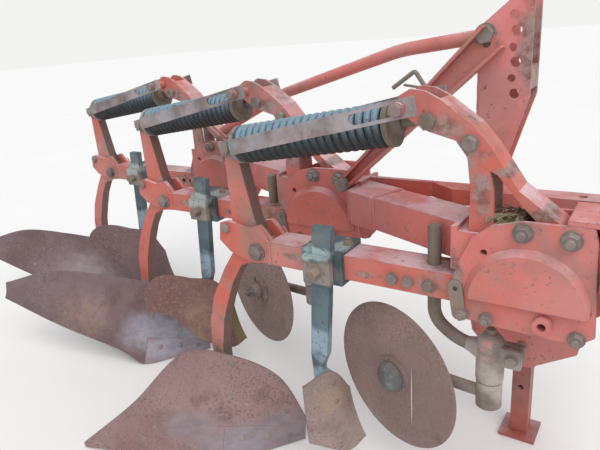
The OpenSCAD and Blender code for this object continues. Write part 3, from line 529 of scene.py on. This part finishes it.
def skin(bm, rings):
    """Joins a row of equal rings into a closed tube with flat ends."""
    for low, high in zip(rings, rings[1:]):
        for k in range(len(low)):
            j = (k + 1) % len(low)
            bm.faces.new((low[k], low[j], high[j], high[k]))
    bm.faces.new(reversed(rings[0]))
    bm.faces.new(rings[-1])


def lathe(bm, place, axis, profile, sides, turn=0.0):
    """Adds a turned solid; its profile of (radius, height) starts and ends on the axis."""
    rot = axis_frame(axis)
    rings = []
    for radius, height in profile:
        angles = circle(sides, turn) if radius > 0 else (0,)
        points = [(radius * cos(a), radius * sin(a), height) for a in angles]
        rings.append([bm.verts.new(place + rot @ (Vector(p) * MM)) for p in points])
    for low, high in zip(rings, rings[1:]):
        for i in range(sides):
            j = (i + 1) % sides
            if len(low) == 1:
                bm.faces.new((low[0], high[j], high[i]))
            elif len(high) == 1:
                bm.faces.new((low[i], low[j], high[0]))
            else:
                bm.faces.new((low[i], low[j], high[j], high[i]))


def washer(bm, place, axis, radius, thick, sides=20):
    lathe(bm, place, axis, ((0, 0), (radius, 0), (radius, thick), (0, thick)), sides)


HEX_TO_CORNER = 1.1547


def hexagon(bm, place, axis, across, high, turn=0.3, base=0.0):
    """Hexagonal head or nut with a chamfered top."""
    corner = across / 2 * HEX_TO_CORNER
    lathe(bm, place, axis, ((0, base), (corner, base), (corner, base + high * 0.84),
                            (corner * 0.86, base + high), (0, base + high)), 6, turn)


def bolt_head(bm, place, axis, size, turn=0.3):
    """Washer and hexagonal head of a bolt of a given size."""
    washer(bm, place, axis, size * 0.95, size * 0.14)
    hexagon(bm, place, axis, size * 1.5, size * 0.66, turn, size * 0.14)


def nut_and_stub(bm, place, axis, size, turn=0.1):
    """Washer, nut and the bolt's threaded end."""
    washer(bm, place, axis, size * 0.98, size * 0.15)
    hexagon(bm, place, axis, size * 1.5, size * 0.8, turn, size * 0.15)
    start = size * 0.95
    thread = [(0, start)]
    for i in range(4):
        z = start + i * size * 0.09
        thread += [(size * 0.5, z), (size * 0.45, z + size * 0.045)]
    thread += [(size * 0.38, start + size * 0.4), (0, start + size * 0.4)]
    lathe(bm, place, axis, thread, 14)


# Bolts: x, height above the ground, size
BRACKET_BOLTS = ((392, 952, 24), (492, 948, 24), (257, 717, 18), (318, 715, 18), (520, 712, 20))
LINK_BOLT = (535, 918, 18)
ARM_BOLT = (261, 1146, 22)
# Bolts through the beam: x and size, and how many of them each beam has
BEAM_BOLTS = ((63, 18), (108, 18), (165, 18))
BEAM_BOLT_COUNT = {1: 3, 2: 2, 3: 0}
BEAM_SIDE = 50
SHEAR_BOLT = (-528.3, 833)


def frame_bolts():
    """Bolts of the brackets, beams and arms, a piece for each body."""
    for n in BODIES:
        bm = bmesh.new()
        for i, (x, z, size) in enumerate(BRACKET_BOLTS):
            nut_and_stub(bm, at_body(n, x, -PLATE_OUT, z), NEAR, size, i * 0.7)
            bolt_head(bm, at_body(n, x, PLATE_OUT, z), FAR, size, i * 0.4)
        if n > 1:
            x, z, size = LINK_BOLT
            bolt_head(bm, at_body(n, x, -PLATE_OUT, z), NEAR, size)
        for i, (x, size) in enumerate(BEAM_BOLTS[:BEAM_BOLT_COUNT[n]]):
            bolt_head(bm, at_body(n, x, -BEAM_SIDE, BEAM_Z - 5), NEAR, size, i)
            nut_and_stub(bm, at_body(n, x, BEAM_SIDE, BEAM_Z - 5), FAR, size, i)
        for s, axis in ((-1, NEAR), (1, FAR)):
            x, z, size = ARM_BOLT
            bolt_head(bm, at_body(n, x, s * ARM_OUT, z), axis, size, 0.5)
            hexagon(bm, on_spring(n, ROD_EYE, s * ARM_OUT), axis, 38, 13, 0.2)
            pivot = at_body(n, PIVOT.x, s * CHEEK_OUT, PIVOT.z)
            washer(bm, pivot, axis, 31, 4, 28)
            hexagon(bm, pivot, axis, 44, 15, 0.1, 4)
            x, z = SHEAR_BOLT
            hexagon(bm, at_body(n, x, s * CHEEK_OUT, z), axis, 30, 11, 0.6)
            hexagon(bm, at_body(n, CROSS_PIN.x, s * CROSS_PIN.y, CROSS_PIN.z), axis, 30, 14, 0.4)
        new_piece("frame_bolts_%d" % n, bm, BOLT_METAL)


def lever_bolts():
    """Nuts on the lever's top pin, which ride with the leg."""
    for n in BODIES:
        bm = bmesh.new()
        for s, axis in ((-1, NEAR), (1, FAR)):
            spot = at_body(n, LEVER.x, s * LEVER_OUT, LEVER.z)
            washer(bm, spot, axis, 21, 3, 22)
            hexagon(bm, spot, axis, 32, 12, 0.5, 3)
        new_piece("lever_bolts_%d" % n, bm, BOLT_METAL, "leg_body_%d" % n)


# Bolts of mast, brace and headstock: x, y, z on body 1, size and turn
HEAD_BOLTS = ((207, 241, 1373, 30, 0.2), (-222, 200.7, 942, 26, 0.5), (520, 394.5, 860, 18, 0.3),
              (520, 394.5, 720, 18, 0.3))
MAST_NUT = (207, 339, 1373)
RAIL_BOLT = (620, 290, 942)
STAND_PIN = (316, 384, 380)
STAND_PIN_PROFILE = ((0, 0), (14, 0), (16, 4), (16, 9), (7, 10), (7, 132), (5, 136), (0, 136))


def frame_pins():
    """Bolts and pins of the frame's front end and the stand."""
    bm = bmesh.new()
    for x, y, z, size, turn in HEAD_BOLTS:
        bolt_head(bm, at_body(1, x, y, z), NEAR, size, turn)
    nut_and_stub(bm, at_body(1, *MAST_NUT), FAR, 30)
    hexagon(bm, at_body(1, *RAIL_BOLT), UP, 40, 18)
    lathe(bm, at_body(1, *STAND_PIN), FAR, STAND_PIN_PROFILE, 16)
    new_piece("frame_pins", bm, BOLT_METAL)


# The disc's axle is square to the trailing arm
TRAIL = atan2(TRAIL_END.y, TRAIL_END.x - SWIVEL_X)
AXLE = Vector((-sin(pi - TRAIL), -cos(pi - TRAIL), 0))
DISC_CENTRE = TRAIL_END + 73 * AXLE
PINCH_BOLT_X, PINCH_BOLT_Z, CLAMP_OUT = 374, 588, 24
SWIVEL_TOP = 637
STEM_X, STEM_TOP = 162, 918
HUB_CAP = ((0, 0), (47, 0), (46, 10), (41, 20), (33, 27), (23, 31), (22, 34), (12, 38), (0, 39))


def hub_nuts(bm, n, count, start, reach, across, high):
    """A circle of small nuts around the hub of a disc."""
    for a in circle(count, start):
        side = UP * cos(a) + AXLE.cross(UP) * sin(a)
        hexagon(bm, at_body(n, *(DISC_CENTRE + AXLE * 9 + side * reach)), AXLE, across, high, a)


def coulter_bolts():
    """Swivels' pinch bolts and top caps, and the hubs: a cap on 1, a nut on 2."""
    for n in COULTER_BODIES:
        bm = bmesh.new()
        bolt_head(bm, at_body(n, PINCH_BOLT_X, -CLAMP_OUT, PINCH_BOLT_Z), NEAR, 18, 0.5)
        nut_and_stub(bm, at_body(n, PINCH_BOLT_X, CLAMP_OUT, PINCH_BOLT_Z), FAR, 18)
        cap = at_body(n, SWIVEL_X, 0, SWIVEL_TOP)
        lathe(bm, cap, UP, ((0, 0), (21, 0), (19, 4), (12, 6), (0, 7)), 24)
        hexagon(bm, cap, UP, 24, 12, 0.2, 6)
        lathe(bm, at_body(n, STEM_X, 0, STEM_TOP), UP, ((0, 0), (16, 0), (14, 3), (0, 4)), 18)
        new_piece("coulter_bolts_%d" % n, bm, BOLT_METAL)
        bm = bmesh.new()
        if n == 1:
            lathe(bm, at_body(n, *(DISC_CENTRE + AXLE * 12)), AXLE, HUB_CAP, 28)
            hub_nuts(bm, n, 3, 0.4, 53, 13, 7)
        else:
            hexagon(bm, at_body(n, *(DISC_CENTRE + AXLE * 40)), AXLE, 38, 20, 0.2)
            lathe(bm, at_body(n, *(DISC_CENTRE + AXLE * 58)), AXLE,
                  ((0, 0), (12, 0), (11, 14), (9, 16), (0, 16)), 16)
            hub_nuts(bm, n, 4, 0.5, 48, 16, 8)
        new_piece("disc_nuts_%d" % n, bm, HUB_METAL, "disc_body_%d" % n)


def round_bar(bm, n, path, radius, bend, sides=22):
    """Round bar along a path in millimetres of body n, with its corners bent smoothly."""
    points = [Vector(path[0])]
    for before, corner, after in zip(path, path[1:], path[2:]):
        corner = Vector(corner)
        start = corner + (Vector(before) - corner).normalized() * bend
        end = corner + (Vector(after) - corner).normalized() * bend
        for f in steps(0, 1, 10):
            points.append(start * (1 - f) ** 2 + corner * 2 * f * (1 - f) + end * f * f)
    points.append(Vector(path[-1]))
    rings = []
    for i, p in enumerate(points):
        way = (points[min(i + 1, len(points) - 1)] - points[max(i - 1, 0)]).normalized()
        up = way.cross(FAR).normalized()
        side = up.cross(way)
        around = [side * cos(a) + up * sin(a) for a in circle(sides)]
        rings.append([bm.verts.new(at_body(n, *(p + out * radius))) for out in around])
    skin(bm, rings)


STEM_PATH = ((STEM_X, 0, STEM_TOP), (STEM_X, 0, 650), (228, 0, 600), (300, 0, 589.4))
STEM_R = 18
SWIVEL_FOOT = 500
HEAD_PROFILE = ((0, 0), (32, 0), (35, 3), (36.5, 10), (36.5, 108), (35.5, 118), (32, 127), (26, 134),
                (18, 138), (0, 138))
COLLAR_AT, COLLAR_WAY = (254, 0, 596.2), (72, 0, -10.6)
COLLAR_PROFILE = ((0, 0), (18.5, 0), (20, 7), (24, 18), (28, 30), (28, 44), (0, 44))
# The split clamp's two jaws lie on both sides of a slot
CLAMP_X, CLAMP_Z, CLAMP_SLOT = (335, 398), (560, 616), 2.5
CLAMP_ROUND = 6


def coulter_stems():
    """Bent stems, and the swivels' cast heads with their split clamps."""
    for n in COULTER_BODIES:
        bm = bmesh.new()
        round_bar(bm, n, STEM_PATH, STEM_R, 36)
        bar = new_piece("stem_bar_%d" % n, bm, STEM_METAL, smooth=50)
        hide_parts("coulter_stem_%d" % n)
        bm = bmesh.new()
        lathe(bm, at_body(n, SWIVEL_X, 0, SWIVEL_FOOT), UP, HEAD_PROFILE, 40)
        lathe(bm, at_body(n, *COLLAR_AT), COLLAR_WAY, COLLAR_PROFILE, 28)
        for jaw in ((-CLAMP_OUT, -CLAMP_SLOT), (CLAMP_SLOT, CLAMP_OUT)):
            box = bmesh.ops.create_cube(bm, size=1.0)
            for vert in box["verts"]:
                x, y, z = (pair[side > 0] for pair, side in zip((CLAMP_X, jaw, CLAMP_Z), vert.co))
                vert.co = at_body(n, x, y, z)
            edges = list({e for v in box["verts"] for e in v.link_edges})
            bmesh.ops.bevel(bm, geom=edges, offset=CLAMP_ROUND * MM, segments=3, affect="EDGES",
                            profile=0.5)
        new_piece("swivel_head_%d" % n, bm, HOUSING, smooth=50)


LUG_LOW, LUG_HIGH = Vector((251, 0, 717)), Vector((240, 0, 790))
LUG_HALF, LUG_THICK = 18, 6
LUG_HOLE = (241, 785)


def rear_lugs():
    """Flat bars on the brackets' rear edges, with a bolt below and a hole above, drawn as a dark
    disc of painted shade.
    """
    way = (LUG_HIGH - LUG_LOW).normalized()
    side = Vector((way.z, 0, -way.x))
    outline = []
    for end, start in ((LUG_HIGH, 0), (LUG_LOW, pi)):
        for a in steps(start, start + pi, 12):
            outline.append(end + (side * cos(a) + way * sin(a)) * LUG_HALF)
    front = -PLATE_OUT - LUG_THICK
    for n in COULTER_BODIES:
        bm = bmesh.new()
        skin(bm, [[bm.verts.new(at_body(n, p.x, y, p.z)) for p in outline]
                  for y in (front, 0.5 - PLATE_OUT)])
        new_piece("rear_lug_%d" % n, bm, LUG_METAL, smooth=30)
        # The hole's inside, shown as a dark disc of painted shade
        bm = bmesh.new()
        lathe(bm, at_body(n, LUG_HOLE[0], front, LUG_HOLE[1]), NEAR,
              ((0, -3), (6.5, -3), (6.5, 0.3), (0, 0.3)), 18)
        new_piece("lug_hole_shade_%d" % n, bm, HOLE_SHADE, smooth=30)


HOOK_PATH = ((72, 222, 1212), (46, 236, 1239), (11, 242, 1286), (-58, 242, 1239))
PEG_PATH = ((52, 236, 1227), (25, 238, 1241), (-21, 238, 1248))


def hose_hook():
    """Hose hook and its short peg behind the brace."""
    bm = bmesh.new()
    round_bar(bm, 1, HOOK_PATH, 6.5, 9, 14)
    round_bar(bm, 1, PEG_PATH, 4, 6, 12)
    new_piece("hose_hook", bm, LUG_METAL, smooth=50)


SKIM_CLAMP_BOLT = (-150, -101, 770)
SKIM_CLAMP_NUTS = ((-202, 0, 826), (-98, 0, 826))


def clamp_bolts():
    """The big clamp bolt of each skimmer and the small nuts beside it."""
    for n in BODIES:
        bm = bmesh.new()
        spot = at_body(n, *SKIM_CLAMP_BOLT)
        washer(bm, spot, NEAR, 17, 7)
        hexagon(bm, spot, NEAR, 34, 24, 0.25, 7)
        for nut in SKIM_CLAMP_NUTS:
            nut_and_stub(bm, at_body(n, *nut), UP, 15)
        new_piece("clamp_bolts_%d" % n, bm, TAN_METAL)


# Welds
def bead(bm, start, end, radius, seed=0.0):
    """Weld bead: a lumpy tube from start to end."""
    line = end - start
    rot = axis_frame(line)
    count = max(3, int(line.length / (radius * 0.9 * MM)))
    rings = []
    for i in range(count + 1):
        lump = radius * (0.86 + 0.2 * abs(sin(i * 1.35 + seed)) + 0.08 * sin(i * 0.37 + seed))
        if i in (0, count):
            lump *= 0.4
        around = [rot @ Vector((cos(a), sin(a), 0)) for a in circle(8)]
        rings.append([bm.verts.new(start + line * (i / count) + out * lump * MM) for out in around])
    skin(bm, rings)


def run_bead(bm, points, radius):
    """Beads along a row of points."""
    for i in range(len(points) - 1):
        bead(bm, points[i], points[i + 1], radius, i * 1.7)


# Diagonal link: its direction and where it starts
LINK_ANGLE = atan2(FURROW, -BODY_GAP)
LINK_X, LINK_Y = 222, 71
# Weld lines: x and z on bracket and cheeks, y and z on the link's ends
BRACKET_WELD = ((557, 832), (557, 940))
CHEEK_WELD = ((-360, 738), (-350, 742), (-350, 808), (-365, 830))
LINK_START_WELD = ((0, 832), (0, 932), (135, 932), (135, 832))
LINK_END_WELD = ((-61, 828), (-61, 932), (61, 932), (61, 828))
# Weld lines of the headstock, the hitch pins and the stand's sleeve
HITCH_SIDES = (-58, -38, 618, 638)
HITCH_PIN_X, HITCH_PIN_Z = 640.3, 715
SLEEVE_RUNS = ((302, 448), (702, 808))
SLEEVE_HALF, SLEEVE_Y = 40, 407


def on_link(n, along, side, z):
    """A point of the diagonal link behind bracket n."""
    c, s = cos(LINK_ANGLE), sin(LINK_ANGLE)
    return at_body(n, LINK_X + along * c - side * s, LINK_Y + along * s + side * c, z)


def welds():
    """Weld beads of each body and of the frame's front end."""
    for n in BODIES:
        bm = bmesh.new()
        for s in (-1, 1):
            run_bead(bm, [at_body(n, x, s * 65, z) for x, z in BRACKET_WELD], 4)
            run_bead(bm, [at_body(n, x, s * 51, z) for x, z in CHEEK_WELD], 3.5)
        if n < 3:
            run_bead(bm, [at_body(n, 221, y, z) for y, z in LINK_START_WELD], 4.5)
            run_bead(bm, [on_link(n, 299, y, z) for y, z in LINK_END_WELD], 4)
        new_piece("welds_%d" % n, bm, PAINT, "root", 60)
    bm = bmesh.new()
    for y in HITCH_SIDES:
        run_bead(bm, [at_body(1, x, y, 794) for x in (588, 668)], 4)
        run_bead(bm, [at_body(1, HITCH_PIN_X + 26 * cos(a), y, HITCH_PIN_Z + 26 * sin(a))
                      for a in steps(0, 2 * pi, 16)], 3.5)
    for s in (-1, 1):
        for run in SLEEVE_RUNS:
            run_bead(bm, [at_body(1, SWIVEL_X + s * SLEEVE_HALF, SLEEVE_Y, z) for z in run], 4)
    for y in (240, 340):
        run_bead(bm, [at_body(1, 192, y, z) for z in (1085, 1380)], 3)
    new_piece("welds_frame", bm, PAINT, "root", 60)


# Moss clump on bracket 1: its corner, length and width, the bracket's top and the clump's height
CLUMP_X, CLUMP_Y, CLUMP_LONG, CLUMP_WIDE = 304, -64, 116, 114
CLUMP_Z, CLUMP_HIGH = 931.5, 60
CLUMP_COLUMNS, CLUMP_ROWS = 48, 38
STRAWS, STRAW_R = 46, 1.1
STRAW_MIDDLE = Vector((335, -16, 980))
GOLDEN_TURN, GOLDEN_STEP = 2.39996, 0.618


def moss_clump():
    """Earth and moss that lie on bracket 1 between the spring arm's feet."""
    bm = bmesh.new()
    grid = []
    for u in steps(0, 1, CLUMP_COLUMNS):
        line = []
        for w in steps(0, 1, CLUMP_ROWS):
            dome = sin(pi * u) ** 0.6 * sin(pi * w) ** 0.35
            lumps = 0.68 + 0.15 * sin(9 * u + 4 * w) + 0.12 * sin(21 * u - 13 * w)
            lumps += 0.1 * sin(47 * u + 31 * w) * sin(37 * w - 11 * u)
            line.append(bm.verts.new(at_body(1, CLUMP_X + CLUMP_LONG * u, CLUMP_Y + CLUMP_WIDE * w,
                                             CLUMP_Z + CLUMP_HIGH * dome * lumps)))
        grid.append(line)
    for left, right in zip(grid, grid[1:]):
        for j in range(CLUMP_ROWS):
            bm.faces.new((left[j], right[j], right[j + 1], left[j + 1]))
    rim = [line[0] for line in grid] + grid[-1][1:] + [line[-1] for line in grid[-2::-1]]
    rim += grid[0][-2:0:-1]
    bm.faces.new(reversed(rim))
    new_piece("moss_clump", bm, MOSS_EARTH, smooth=80)


def straw():
    """Short bent straws on the clump, spread by the golden angle."""
    bm = bmesh.new()
    for k in range(STRAWS):
        a = k * GOLDEN_TURN
        reach = 12 + 38 * ((k * GOLDEN_STEP) % 1)
        middle = STRAW_MIDDLE + Vector((reach * cos(a) * 1.2, reach * sin(a), 0))
        half = 14 + 26 * ((k * 0.37) % 1)
        way = Vector((cos(k * 1.7), sin(k * 1.7), 0.35 * sin(k * 2.2))) * half
        drop = Vector((0, 0, 6 + 5 * sin(k)))
        run_bead(bm, [at_body(1, *p) for p in (middle - way - drop, middle, middle + way - drop)],
                 STRAW_R)
    new_piece("straw", bm, STRAW, smooth=80)


# Springs: where the coil starts and ends on its line, and its winding
SPRING_FROM, SPRING_TO = 44, 540
COIL_R, WIRE_R, TURNS = 48.6, 10.4, 20
END_TURNS, END_PITCH = 1.0, WIRE_R * 1.6
COIL_STEPS, WIRE_SIDES = 36, 12
COIL_LENGTH = SPRING_TO - SPRING_FROM - 2 * WIRE_R - 1
FREE_PITCH = (COIL_LENGTH - 2 * END_PITCH) / (TURNS - 2 * END_TURNS)


def coil_reach(turn):
    """Distance of the wire along the spring after some turns; the end turns lie closer."""
    if turn < END_TURNS:
        return turn * END_PITCH
    if turn > TURNS - END_TURNS:
        return COIL_LENGTH - (TURNS - turn) * END_PITCH
    return END_PITCH + (turn - END_TURNS) * FREE_PITCH


def springs():
    """Coil springs in place of the plain solids, each with a mesh of its own."""
    for n in BODIES:
        bm = bmesh.new()
        rings = []
        for k in range(TURNS * COIL_STEPS + 1):
            turn = k / COIL_STEPS
            x = coil_reach(turn) + SPRING_FROM + WIRE_R + 0.5
            a = 2 * pi * turn
            ring = []
            for w in circle(WIRE_SIDES):
                r = COIL_R + WIRE_R * cos(w)
                ring.append(bm.verts.new(on_spring(n, x + WIRE_R * sin(w), r * cos(a),
                                                   r * sin(a))))
            rings.append(ring)
        skin(bm, rings)
        coil = new_piece("coil_%d" % n, bm, SPRING_TEAL, "root", 60)
        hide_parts("spring_%d" % n)
        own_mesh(coil)


# The boards' surface: rows of (t, lower edge, upper edge), as in the part's source
BODY_ROWS = (
    (0.0, (-342, 35, 3.5), (-334, 35, 100)),
    (0.25, (-425, -75, 5), (-440, 28, 250)),
    (0.5, (-530, -215, 8), (-600, -60, 345)),
    (0.62, (-640, -257, 76), (-735, -165, 400)),
    (0.8, (-930, -350, 180), (-965, -302, 440)),
    (1.0, (-1291.1, -400, 272), (-1235, -402, 368)),
)
# The first body's moldboard hangs down behind
HANGING_TAIL = (
    (0.62, (-650, -262, 8), (-712, -150, 368)),
    (0.8, (-835, -328, 8), (-856, -290, 200)),
    (1.0, (-1046, -401.6, 7), (-1052, -402, 24)),
)
SKIM_ROWS = (
    (0.0, (-70, 8, 150), (-118, 0, 330)),
    (0.5, (-98, -70, 138), (-132, -78, 430)),
    (1.0, (-175, -165, 205), (-196, -150, 395)),
)
# Skimmer boards 2 and 3 still have their wing
WING_ROWS = {
    2: (SKIM_ROWS[0],
        (0.3, (-98, -70, 138), (-133, -76, 452)),
        (0.55, (-175, -165, 205), (-204, -148, 482)),
        (0.7, (-228, -194, 262), (-260, -178, 495)),
        (0.84, (-292, -217, 320), (-316, -208, 498)),
        (1.0, (-390, -250, 335), (-394, -247, 492))),
    3: (SKIM_ROWS[0],
        (0.3, (-98, -70, 138), (-133, -76, 462)),
        (0.55, (-175, -165, 215), (-206, -148, 500)),
        (0.7, (-236, -196, 290), (-268, -180, 518)),
        (0.84, (-312, -222, 362), (-336, -212, 522)),
        (1.0, (-415, -256, 382), (-418, -253, 518))),
}
# Middle guide point: its share of the way across and up
HANG_X, RISE_Z = 0.72, 0.38
NORMAL_STEP = 0.01
# A sharpened plate gains this much thickness over its height, in millimetres
EDGE_GROWTH = 60
WING_ROUND_FROM = 0.82


def rows_of(n):
    """Rows of a body's board; the first one's hangs down behind."""
    return BODY_ROWS[:3] + HANGING_TAIL if n == 1 else BODY_ROWS


def guide(rows, t, column):
    """Smooth curve through one column of the rows."""
    i = 0
    while i < len(rows) - 2 and t >= rows[i + 1][0]:
        i += 1
    p0, p1 = rows[max(i - 1, 0)], rows[i]
    p2, p3 = rows[i + 1], rows[min(i + 2, len(rows) - 1)]
    h = p2[0] - p1[0]
    f = (t - p1[0]) / h
    v0, v1, v2, v3 = (Vector(p[column]) for p in (p0, p1, p2, p3))
    m1 = (v2 - v0) / (p2[0] - p0[0]) * h
    m2 = (v3 - v1) / (p3[0] - p1[0]) * h
    f2, f3 = f * f, f * f * f
    return (v1 * (2 * f3 - 3 * f2 + 1) + m1 * (f3 - 2 * f2 + f) + v2 * (3 * f2 - 2 * f3)
            + m2 * (f3 - f2))


def surface(rows, t, v):
    """Point of the front face, in millimetres of the body."""
    low, high = guide(rows, t, 1), guide(rows, t, 2)
    middle = Vector((low.x + (high.x - low.x) * HANG_X, low.y + (high.y - low.y) * HANG_X,
                     low.z + (high.z - low.z) * RISE_Z))
    return low * (1 - v) ** 2 + middle * 2 * v * (1 - v) + high * v * v


def back_normal(rows, t, v):
    """Direction from the front face into the plate."""
    t0, t1 = max(t - NORMAL_STEP, 0), min(t + NORMAL_STEP, 1)
    v0, v1 = max(v - NORMAL_STEP, 0), min(v + NORMAL_STEP, 1)
    across = surface(rows, t1, v) - surface(rows, t0, v)
    rise = surface(rows, t, v1) - surface(rows, t, v0)
    return across.cross(rise).normalized()


def plate(name, n, rows, patches, material, body, replaced, edge=0.0):
    """Curved plate over grids of (t, v); edge is the thickness of a sharpened lower edge."""
    bm = bmesh.new()
    made, rims = {}, {}

    def pair(t, v):
        key = (round(t, 5), round(v, 5))
        if key not in made:
            p = surface(rows, t, v)
            thick = min(BOARD_T, edge + v * EDGE_GROWTH) if edge else BOARD_T
            q = p + back_normal(rows, t, v) * thick
            made[key] = (bm.verts.new(at_body(n, *p)), bm.verts.new(at_body(n, *q)))
        return made[key]

    for patch in patches:
        for left, right in zip(patch, patch[1:]):
            for j in range(len(left) - 1):
                ring = [pair(*left[j]), pair(*right[j]), pair(*right[j + 1]), pair(*left[j + 1])]
                bm.faces.new([r[0] for r in ring])
                bm.faces.new([r[1] for r in reversed(ring)])
                for a, b in zip(ring, ring[1:] + ring[:1]):
                    if (b[0], a[0]) in rims:
                        del rims[(b[0], a[0])]
                    else:
                        rims[(a[0], b[0])] = (a, b)
    for a, b in rims.values():
        bm.faces.new((b[0], a[0], a[1], b[1]))
    piece = new_piece(name, bm, material, body, 35)
    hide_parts(replaced)


def seam_t(v):
    """The slanting seam between the shin plate and the moldboard."""
    return SEAM_TOP + (SEAM_LOW - SEAM_TOP) * (1 - v) / (1 - SEAM_V)


def plough_boards():
    """Shares, shin plates and moldboards in smooth plate."""
    low_vs, high_vs = steps(0, SEAM_V, 6), steps(SEAM_V, 1, 13)
    for n in BODIES:
        body, rows = "leg_body_%d" % n, rows_of(n)
        share = [[(t, v) for v in steps(0, SEAM_V - SEAM_GAP, 8)] for t in steps(0, 0.5, 24)]
        plate("share_plate_%d" % n, n, rows, [share], SHARE[n], body, "share_%d" % n, 1.0)
        shin = [[(s * (seam_t(v) - SEAM_GAP / 2), v) for v in steps(SEAM_V + SEAM_GAP, 1, 14)]
                for s in steps(0, 1, 30)]
        plate("shin_plate_%d" % n, n, rows, [shin], BOARD[n], body, "cover_%d" % n)
        under = [[(t, v) for v in low_vs] for t in steps(0.5 + SEAM_GAP, SEAM_LOW, 9)]
        behind = [[(t, v) for v in low_vs] for t in steps(SEAM_LOW, 1, 24)]
        above = [[(seam_t(v) + u * (1 - seam_t(v)), v) for v in high_vs] for u in steps(0, 1, 24)]
        plate("board_plate_%d" % n, n, rows, [under, behind, above], BOARD[n], body,
              "moldboard_%d" % n)


# Flush bolts of the boards: t, v and size, on the front face
BOARD_BOLTS = ((0.12, 0.2, 20), (0.28, 0.2, 20), (0.42, 0.22, 20), (0.17, 0.62, 18),
               (0.3, 0.46, 18), (0.48, 0.62, 18), (0.47, 0.93, 18), (0.78, 0.3, 18))
SKIM_BOLTS = ((0.5, 0.88, 16), (0.5, 0.68, 16))
WING_BOLTS = ((0.34, 0.62, 16), (0.36, 0.4, 16))
BOLT_SUNK = 1.5


def flush_bolts(name, n, rows, spots, body):
    """Flat bolt heads, a little sunk into a board's front face."""
    bm = bmesh.new()
    for t, v, size in spots:
        out = -back_normal(rows, t, v)
        spot = at_body(n, *(surface(rows, t, v) - out * BOLT_SUNK))
        lathe(bm, spot, out, ((0, 0), (size * 0.55, 0), (size * 0.55, 1.9), (size * 0.47, 3.0),
                              (size * 0.25, 3.4), (0, 3.4)), 20)
    new_piece("%s_%d" % (name, n), bm, BOLT_METAL, body)


def all_flush_bolts():
    for n in BODIES:
        flush_bolts("board_bolts", n, rows_of(n), BOARD_BOLTS, "leg_body_%d" % n)
        wing = WING_ROWS.get(n)
        flush_bolts("skim_bolts", n, wing or SKIM_ROWS, WING_BOLTS if wing else SKIM_BOLTS, "root")


def wing_top(t):
    """Height share of a wing's upper edge: its rear corner is rounded."""
    past = max(0.0, (t - WING_ROUND_FROM) / (1 - WING_ROUND_FROM))
    return 1 - 0.5 * (1 - sqrt(1 - min(past, 1.0) ** 2))


def skim_plates():
    """Skimmer boards in smooth plate: a small one and two with a wing."""
    for n in BODIES:
        rows = WING_ROWS.get(n, SKIM_ROWS)
        if n in WING_ROWS:
            turns = steps(0, pi / 2, 12)[1:]
            ts = steps(0, WING_ROUND_FROM, 26)
            ts += [WING_ROUND_FROM + (1 - WING_ROUND_FROM) * sin(a) for a in turns]
            grid = [[(t, v) for v in steps(0, wing_top(t), 14)] for t in ts]
        else:
            grid = [[(t, v) for v in steps(0, 1, 14)] for t in steps(0, 1, 18)]
        plate("skim_plate_%d" % n, n, rows, [grid], SKIM[n], "root", "skim_board_%d" % n)


# Camera solved from the photograph: place, directions and lens
CAMERA_AT = at_body(1, 640, -1283, 1414)
CAMERA_RIGHT = Vector((0.8307, 0.5514, -0.0768))
CAMERA_DOWN = Vector((0.1232, -0.3166, -0.9405))
CAMERA_FORWARD = Vector((-0.5429, 0.7718, -0.331))
CAMERA_LENS, CAMERA_SENSOR, CAMERA_REACH = 32.8, 36.0, 200.0
# Soft daylight: half the floor's width; colour and strength of the light and of what is seen
FLOOR_HALF = 60.0
FLOOR_TONES = ((0.8, 0.79, 0.77), (0.84, 0.83, 0.81))
SKY_LIGHT = ((0.93, 0.96, 1.0, 1.0), 0.84)
SKY_SEEN = ((0.94, 0.94, 0.93, 1.0), 0.95)
SUN_COLOR, SUN_ENERGY = (1.0, 0.98, 0.95), 1.55
SUN_WIDTH, SUN_TURN = 45, (38, 12, 35)


def camera():
    cam = bpy.data.cameras.new("view")
    cam.lens = CAMERA_LENS
    cam.sensor_width = CAMERA_SENSOR
    cam.clip_end = CAMERA_REACH
    obj = add_object("view", cam)
    rot = Matrix((CAMERA_RIGHT, -CAMERA_DOWN, -CAMERA_FORWARD)).transposed()
    obj.matrix_world = Matrix.Translation(CAMERA_AT) @ rot.to_4x4()
    bpy.context.scene.camera = obj
    bpy.context.scene.view_settings.view_transform = "Standard"


def floor():
    bm = bmesh.new()
    bmesh.ops.create_grid(bm, x_segments=2, y_segments=2, size=FLOOR_HALF)
    shade = Shader("floor_pale")
    tone = shade.mix(shade.noise(1.5, 3), *FLOOR_TONES)
    add_mesh("floor", bm, shade.finish(tone, 0.9))


def sky():
    """Sky that lights the plough with one colour and shows the camera another."""
    world = bpy.data.worlds.new("sky")
    bpy.context.scene.world = world
    world.use_nodes = True
    tree = world.node_tree
    tree.nodes.clear()
    mix = tree.nodes.new("ShaderNodeMixShader")
    path = tree.nodes.new("ShaderNodeLightPath")
    tree.links.new(path.outputs["Is Camera Ray"], mix.inputs[0])
    for socket, (color, strength) in zip(mix.inputs[1:], (SKY_LIGHT, SKY_SEEN)):
        light = tree.nodes.new("ShaderNodeBackground")
        light.inputs[0].default_value = color
        light.inputs[1].default_value = strength
        tree.links.new(light.outputs[0], socket)
    out = tree.nodes.new("ShaderNodeOutputWorld")
    tree.links.new(mix.outputs[0], out.inputs[0])


def sun():
    light = bpy.data.lights.new("sun", "SUN")
    light.color = SUN_COLOR
    light.energy = SUN_ENERGY
    light.angle = radians(SUN_WIDTH)
    add_object("sun", light).rotation_euler = [radians(a) for a in SUN_TURN]


camera()
floor()
sky()
sun()
dress_nodes()
frame_bolts()
lever_bolts()
frame_pins()
coulter_bolts()
coulter_stems()
rear_lugs()
hose_hook()
clamp_bolts()
welds()
moss_clump()
straw()
springs()
plough_boards()
all_flush_bolts()
skim_plates()
